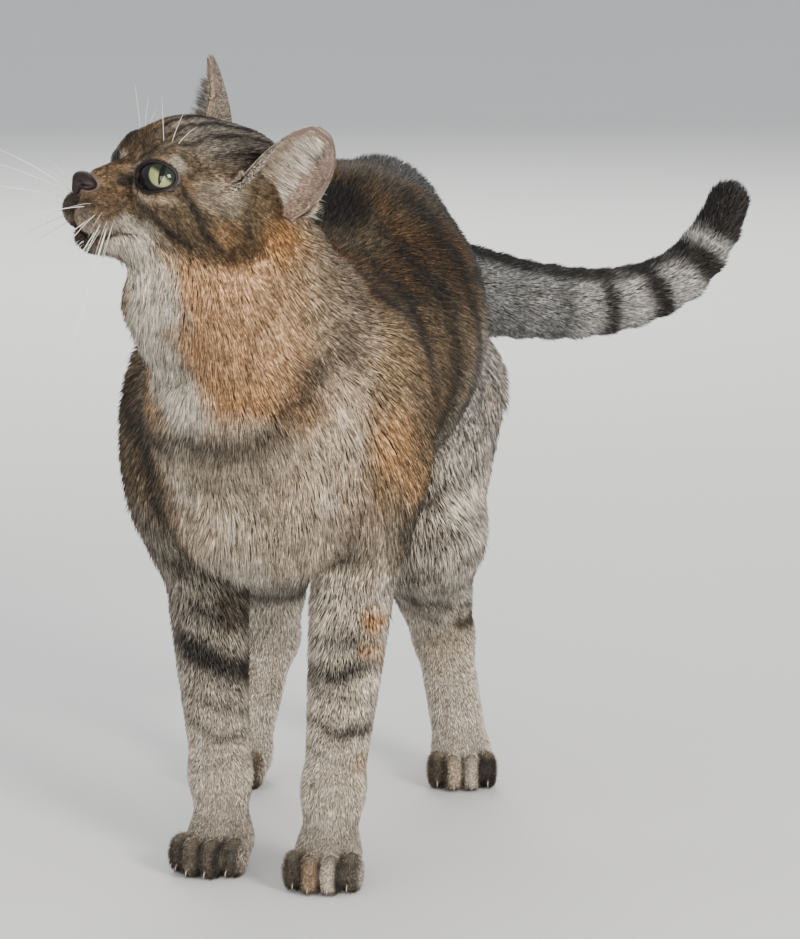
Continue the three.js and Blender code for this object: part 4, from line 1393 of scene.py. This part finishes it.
def make_ear(side, skin_finish, fur, rng):
    ear, node = EARS[side], f"ear_{side}"
    rise, angle = np.meshgrid(np.linspace(0, 1, EAR_ROWS), np.linspace(-1, 1, EAR_COLUMNS), indexing="ij")
    outer = ear_point(ear, rise, angle, EAR_FUR)
    inner = ear_point(ear, rise, angle, EAR["wall"])
    ripple = (0.5 * noise(inner.reshape(-1, 3), 5, 91)).reshape(rise.shape + (1,))
    inner += ear_sides(ear, rise, angle, EAR["wall"])[3] * ripple * (1 - angle[..., None] ** 2)
    points, faces = slab(outer, inner)
    outer_half = ease(0.2, 0.7, -INNER_RIM[side] * angle)
    flush = over(0.15 + 0 * rise, 0.7 * ease(0.75, 0.3, rise), 0.25 * outer_half)
    flush = np.r_[0 * flush.ravel(), flush.ravel()]
    # Painted shade in the ear's hollow near its root, towards the inner rim.
    hollow = 0.9 * ease(1.2, 0.5, np.hypot((rise - 0.17) / 0.1, (angle - 0.15 * INNER_RIM[side]) / 0.3))
    hollow = np.r_[0 * hollow.ravel(), hollow.ravel()]
    rides(mesh_piece(node + "_skin", points, faces, skin_finish, outwards=True, flush=flush,
                     hollow=hollow), "ear", node)

    def grow(name, count, rises, angles, wall, aim, length, depth, width, marks):
        rise = rises[0] + (rises[1] - rises[0]) * rng.random(count)
        angle = angles[0] + (angles[1] - angles[0]) * rng.random(count)
        root, tipwards, rimwards, back = ear_sides(ear, rise, angle, wall)
        normals = back if wall < 1 else -back
        lie = tipwards * aim[0] + rimwards * aim[1] + normals * aim[2] + 0.12 * rng.normal(size=root.shape)
        scale = (0.7 + 0.5 * rng.random(count)) * np.clip(1.25 - rise, 0.45, 1)
        tufts = (root, normals, lie, length * scale, depth * scale, np.full(count, width))
        marks = (np.tile(marks, (count, 1)) + 0.2 * noise(root, 6, 95)[:, None])[:, None]
        sheet = np.stack([0.03 + 0.46 * (angle + 1), 0.03 + 0.9 * rise], 1)
        fur_piece(name, "coat", (node,), fur, rng, tufts, marks, sheet)

    rim = INNER_RIM[side]

    def strip(start, end):
        return min(rim * start, rim * end), max(rim * start, rim * end)

    dusky, cream, orange = (0.4, 0.15, 0.1, 0.5), (0.05, 0.25, 0.65, 0), (0.05, 0.6, 0.45, 0)
    front = cream if side == "left" else orange
    wall = EAR["wall"]
    grow(f"ear_back_{side}", 7400, (0.02, 0.99), (-1, 1), EAR_FUR, (1, 0, 0), 3.6, 0.55, 0.4, dusky)
    grow(f"ear_foot_{side}", 2500, (-0.02, 0.16), (-1, 1), EAR_FUR, (1, 0, 0.1), 8, 1.8, 0.36,
         (0.25, 0.2, 0.3, 0.4))
    grow(f"ear_front_rim_{side}", 1600, (0.08, 1), strip(0.9, 1), EAR_FUR, (0.8, rim * 0.5, 0), 3, 0.6, 0.4,
         front)
    grow(f"ear_back_rim_{side}", 1800, (0.08, 1), strip(-1, -0.9), EAR_FUR, (0.8, -rim * 0.5, 0), 2.6,
         0.5, 0.34, (0.5, 0.15, 0.15, 0.3))
    grow(f"ear_wisps_{side}", 1500, (0.0, 0.36), strip(0.86, 1), EAR_FUR, (0.5, rim * 0.7, 0.35), 8, 1.8,
         0.3, (0.25, 0.15, 0.35, 0.2))
    length, aim = (25, (-0.3, -rim, 0.35)) if side == "left" else (11, (0.1, -0.3 * rim, 1))
    grow(f"ear_hair_{side}", 1500, (0.22, 0.92), strip(0.3, 0.99), wall, aim, length, length / 5, 0.24,
         (0, 0, 0.95, 0.3))
    grow(f"ear_down_{side}", 3600, (0.02, 0.95), (-0.97, 0.97), wall, (0.4, -rim, 0.2), 4.5, 0.8, 0.2,
         (0.12, 0.2, 0.5, 0.2))
    grow(f"ear_fringe_{side}", 800, (0.04, 0.75), strip(0.85, 1), wall, (0.5, rim * 0.9, 0.1), 12, 1.5,
         0.26, (0.2, 0.05, 0.5, 0.6))


# ---------------------------------------------------------------- eyes

GAZE = {"left": (0.79, -0.5, 0.31), "right": (-0.5, -0.82, 0.33)}
CORNEA = {"rise": 0.8, "spread": 30}


def ball_direction(across, above, side):
    """Out of an eye, towards a place the given degrees to the outer side and up."""
    a, b = np.radians(across), np.radians(above)
    out = math.radians(EYE["outward"])
    ahead = vec(side * math.sin(out), -math.cos(out), 0)
    outer = vec(side * math.cos(out), math.sin(out), 0)
    flat = np.cos(a)[..., None] * ahead + np.sin(a)[..., None] * outer
    return flat * np.cos(b)[..., None] + UP * np.sin(b)[..., None]


def make_eye(side, material):
    """An eyeball with a cornea, drawn in rings round the way it looks."""
    look = unit(vec(*GAZE[side]))
    right = unit(np.cross(look, UP))
    above = np.cross(right, look)
    rings = np.radians(np.r_[np.linspace(1, 70, 40), np.linspace(76, 178, 16)])
    turns = np.linspace(0, 2 * math.pi, 72, endpoint=False)
    ring, turn = np.meshgrid(rings, turns, indexing="ij")
    size = EYE["radius"] + CORNEA["rise"] * np.exp(-((np.degrees(ring) / CORNEA["spread"]) ** 2))
    spread = np.cos(turn)[..., None] * right + np.sin(turn)[..., None] * above
    direction = np.cos(ring)[..., None] * look + np.sin(ring)[..., None] * spread
    points = (eye_place(SIDES[side]) + size[..., None] * direction).reshape(-1, 3)
    ids = np.arange(len(points)).reshape(ring.shape)
    after = np.roll(ids, -1, 1)
    faces = np.stack([ids[:-1], ids[1:], after[1:], after[:-1]], -1).reshape(-1, 4).tolist()
    faces += [ids[0].tolist(), ids[-1, ::-1].tolist()]
    arc = EYE["radius"] * ring
    gaze = np.stack([arc * np.cos(turn), arc * np.sin(turn), arc], -1).reshape(-1, 3)
    # Painted shadow of the upper lid over the iris, darkest at its top.
    shaded = 0.98 * ease(-1.9, 0.3, gaze[:, 1] - 0.45 * gaze[:, 0])
    node = f"eye_{side}"
    rides(mesh_piece(node + "_ball", head_frame.outside(points), faces, material, outwards=True, gaze=gaze,
                     shaded=shaded), "eye", node)


def tube(middles, radii, sides, closed=False):
    """A round tube along a line of points."""
    if closed:
        run = np.roll(middles, -1, 0) - np.roll(middles, 1, 0)
    else:
        run = np.gradient(middles, axis=0)
    run = unit(run)
    side = unit(np.cross(run, unit(vec(0.3, 0.2, 0.93))))
    over_it = np.cross(side, run)
    turn = np.linspace(0, 2 * math.pi, sides, endpoint=False)
    ring = np.cos(turn)[:, None, None] * side + np.sin(turn)[:, None, None] * over_it
    points = (middles + ring * np.asarray(radii)[:, None]).transpose(1, 0, 2)
    ids = np.arange(len(middles) * sides).reshape(len(middles), sides)
    rows = np.concatenate([ids, ids[:1]]) if closed else ids
    after = np.roll(rows, -1, 1)
    faces = np.stack([rows[:-1], after[:-1], after[1:], rows[1:]], -1).reshape(-1, 4).tolist()
    if not closed:
        faces += [ids[0, ::-1].tolist(), ids[-1].tolist()]
    return points.reshape(-1, 3), faces


def make_lid_rim(side, material):
    """The dark bare edge of the lids, thickest at the inner corner."""
    x = SIDES[side]
    t = np.linspace(0, 2 * math.pi, 120, endpoint=False)
    across = LIDS["wide"] * np.sign(np.cos(t)) * np.abs(np.cos(t)) ** (2 / 1.7)
    above = LIDS["high"] * np.sign(np.sin(t)) * np.abs(np.sin(t)) ** (2 / 2.1)
    above += LIDS["rise"] + LIDS["slant"] * across
    middles = eye_place(x) + (EYE["radius"] + 0.55) * ball_direction(across, above, x)
    radii = 0.42 + 0.7 * ease(-30, -60, across) + 0.35 * ease(0, 30, above)
    points, faces = tube(middles, radii, 10, closed=True)
    rides(mesh_piece(f"lid_rim_{side}", head_frame.outside(points), faces, material, outwards=True),
          "nose", "head")


# ---------------------------------------------------------------- nose and whiskers

NOSE_BOX = ((-12, -68, -18), (12, -46, 4))
NOSE_STEP = 0.4


def make_nose(material):
    points, faces = net(nose_field, *NOSE_BOX, NOSE_STEP)
    rides(mesh_piece("nose_leather", head_frame.outside(points), faces, material), "nose", "nose")


BRISTLE_STEPS = 14
BRISTLE_SIDES = 5
BRISTLE_TAPER = 0.85


def bristle(root, toward, length, droop, thick):
    t = np.linspace(0, 1, BRISTLE_STEPS)
    run = unit(head_frame.along(toward)) * (length * t)[:, None]
    middles = in_head(*root) + run - UP * (droop * t * t)[:, None]
    points, faces = tube(middles, thick * (1 - BRISTLE_TAPER * t), BRISTLE_SIDES)
    return points, faces, np.repeat(t, BRISTLE_SIDES)


def bristle_piece(name, bristles, material, *nodes):
    points, faces, along, first = [], [], [], 0
    for one, its_faces, t in bristles:
        points.append(one)
        faces += [[n + first for n in face] for face in its_faces]
        along.append(t)
        first += len(one)
    rides(mesh_piece(name, np.concatenate(points), faces, material, outwards=True,
                     along=np.concatenate(along)), "whisker", *nodes)


WHISKERS_A_SIDE = 7
BROW_WHISKERS = 3
CHIN_WHISKERS = 8


def make_whiskers(side, white, rng):
    x, (start, end) = SIDES[side], WHISKERS[side]
    main, fine = [], []
    for n in range(WHISKERS_A_SIDE):
        t, row = n / (WHISKERS_A_SIDE - 1), n % 2
        for extra in range(2):
            pitch = math.radians(start + (end - start) * t + (rng.uniform(5, 12) if extra else 0))
            out = math.radians(26 + 22 * row + 10 * t + 8 * extra)
            root = (x * (7 + 2.5 * row + 5 * t), -50.5 + 5 * t + 2 * extra, -15 - 4.5 * t + 1.3 * extra)
            level = math.cos(pitch)
            toward = (x * math.sin(out) * level, -math.cos(out) * level, math.sin(pitch))
            length = 60 * (0.82 + 0.18 * math.sin(math.pi * t)) * (0.55 if extra else 1)
            sag = 9 * level * (0.5 if extra else 1)
            (fine if extra else main).append(bristle(root, toward, length, sag, 0.13 if extra else 0.24))
    nodes = [f"whisker_{side}_{n + 1}" for n in range(WHISKERS_A_SIDE)]
    bristle_piece(f"whiskers_{side}", main + fine, white, *nodes)
    brows = [bristle((x * (13 + 2 * n), -30.5 + 2 * n, 15.5 + n), (x * (0.1 + 0.2 * n), -0.35 + 0.3 * n, 1),
                     24 - 5 * n, 3, 0.16) for n in range(BROW_WHISKERS)]
    bristle_piece(f"brow_whiskers_{side}", brows, white, "head")
    chin = [bristle((x * rng.uniform(1, 7), -50 + rng.uniform(-2, 4), -30),
                    (x * rng.uniform(0, 0.6), -0.9, -0.7), rng.uniform(5, 9), 1, 0.1)
            for _ in range(CHIN_WHISKERS)]
    bristle_piece(f"chin_whiskers_{side}", chin, white, "lower_jaw")


CLAW_STEPS = 8
CLAW_SIDES = 8
CLAW_THICK = 0.75


def make_claws(legs, legs_name, material):
    """The tips of the claws, mostly hidden by the toes' fur."""
    for side, leg in legs.items():
        place, claws = paw_frame(leg), []
        for x, y in TOES:
            t = np.linspace(0, 1, CLAW_STEPS)
            middles = np.stack([x + 0 * t, y - 5.5 - 3.6 * np.sin(t * 1.5), 5.4 - 3.2 * t * t], 1)
            radii = CLAW_THICK * (1 - BRISTLE_TAPER * t)
            points, faces = tube(place.outside(middles), radii, CLAW_SIDES)
            claws.append((points, faces, np.repeat(t, CLAW_SIDES)))
        bristle_piece(f"claws_{legs_name}_{side}", claws, material)


# ---------------------------------------------------------------- the scene

# The camera stands before the cat, a little to its left. Place in millimetres, angles in degrees.
CAMERA = {"at": (488.9, -1939.7, 517), "down": 10.03, "turn": 13, "sensor": 36, "lens": 177.6, "sees": 20}
FLOOR_HALF = 20
FLOOR_TONES = ((0.7, 0.695, 0.68), (0.74, 0.735, 0.72))
SKY = (0.86, 0.89, 0.93, 1)
SKY_STRENGTH = 0.85
# Each soft light: its place and what it faces in metres, its width, its power and its colour.
LIGHTS = {
    "key": ((1.75, -1.75, 1.05), (0, 0, 0.15), 0.7, 72, (1, 0.95, 0.88)),
    "fill": ((-1.2, -2.2, 1.3), (0, 0, 0.2), 1.6, 12, (0.9, 0.95, 1)),
    "bounce": ((0.3, -2.2, 0.3), (0, 0, 0.2), 1.2, 52, (1, 0.96, 0.9)),
    "rim": ((-0.6, 2.1, 1.5), (0, 0, 0.2), 1.2, 45, (1, 0.98, 0.95)),
}


def make_camera():
    camera = bpy.data.cameras.new("camera")
    camera.sensor_width, camera.lens = CAMERA["sensor"], CAMERA["lens"]
    camera.clip_end = CAMERA["sees"]
    holder = bpy.data.objects.new("camera", camera)
    holder.location = metres(CAMERA["at"])
    holder.rotation_euler = (math.radians(90 - CAMERA["down"]), 0, math.radians(CAMERA["turn"]))
    bpy.context.scene.collection.objects.link(holder)
    bpy.context.scene.camera = holder


def make_floor():
    shader = Shader("studio floor")
    tone = shader.blend(shader.speckle(3), *FLOOR_TONES)
    mesh = bpy.data.meshes.new("floor")
    corners = [(x * FLOOR_HALF, y * FLOOR_HALF, 0) for x, y in ((-1, -1), (1, -1), (1, 1), (-1, 1))]
    mesh.from_pydata(corners, [], [(0, 1, 2, 3)])
    mesh.materials.append(shader.finish(Base_Color=tone, Roughness=0.9, Specular_IOR_Level=0.05))
    floor = bpy.data.objects.new("floor", mesh)
    bpy.context.scene.collection.objects.link(floor)


def make_light(name, at, aim, size, power, colour):
    lamp = bpy.data.lights.new(name, "AREA")
    lamp.size, lamp.energy, lamp.color = size, power, colour
    holder = bpy.data.objects.new(name, lamp)
    holder.location = at
    direction = unit(vec(*aim) - vec(*at))
    holder.rotation_euler = (math.acos(-direction[2]), 0, math.atan2(-direction[0], direction[1]))
    bpy.context.scene.collection.objects.link(holder)


def make_studio():
    world = bpy.data.worlds.new("studio")
    world.use_nodes = True
    sky = world.node_tree.nodes["Background"]
    sky.inputs["Color"].default_value = SKY
    sky.inputs["Strength"].default_value = SKY_STRENGTH
    bpy.context.scene.world = world
    for name, light in LIGHTS.items():
        make_light(name, *light)


SEED = 4


def main():
    make_camera()
    make_floor()
    make_studio()
    rng = np.random.default_rng(SEED)
    coat, skin_finish = coat_material(), skin_material()
    points, faces = make_skin(skin_finish)
    weights = region_weights(points[faces].mean(1).astype(np.float32))[0]
    owner = np.argmax([weights[name] for name in REGIONS], axis=0)
    for name in COAT:
        make_coat(name, points, faces, owner, coat, rng)
    ear_finish, eye_finish = ear_material(), eye_material()
    rim_finish = leather_material("lid rim", LID_TONES, 0.45, 2500)
    nose_finish = leather_material("nose leather", NOSE_TONES, 0.5, 1800)
    white = bristle_material("whisker", *WHISKER_TONES)
    make_nose(nose_finish)
    horn = bristle_material("claw horn", *HORN_TONES)
    make_claws(FORELEGS, "fore", horn)
    make_claws(HIND_LEGS, "hind", horn)
    for side in SIDES:
        make_ear(side, ear_finish, coat, rng)
        make_eye(side, eye_finish)
        make_lid_rim(side, rim_finish)
        make_whiskers(side, white, rng)


main()
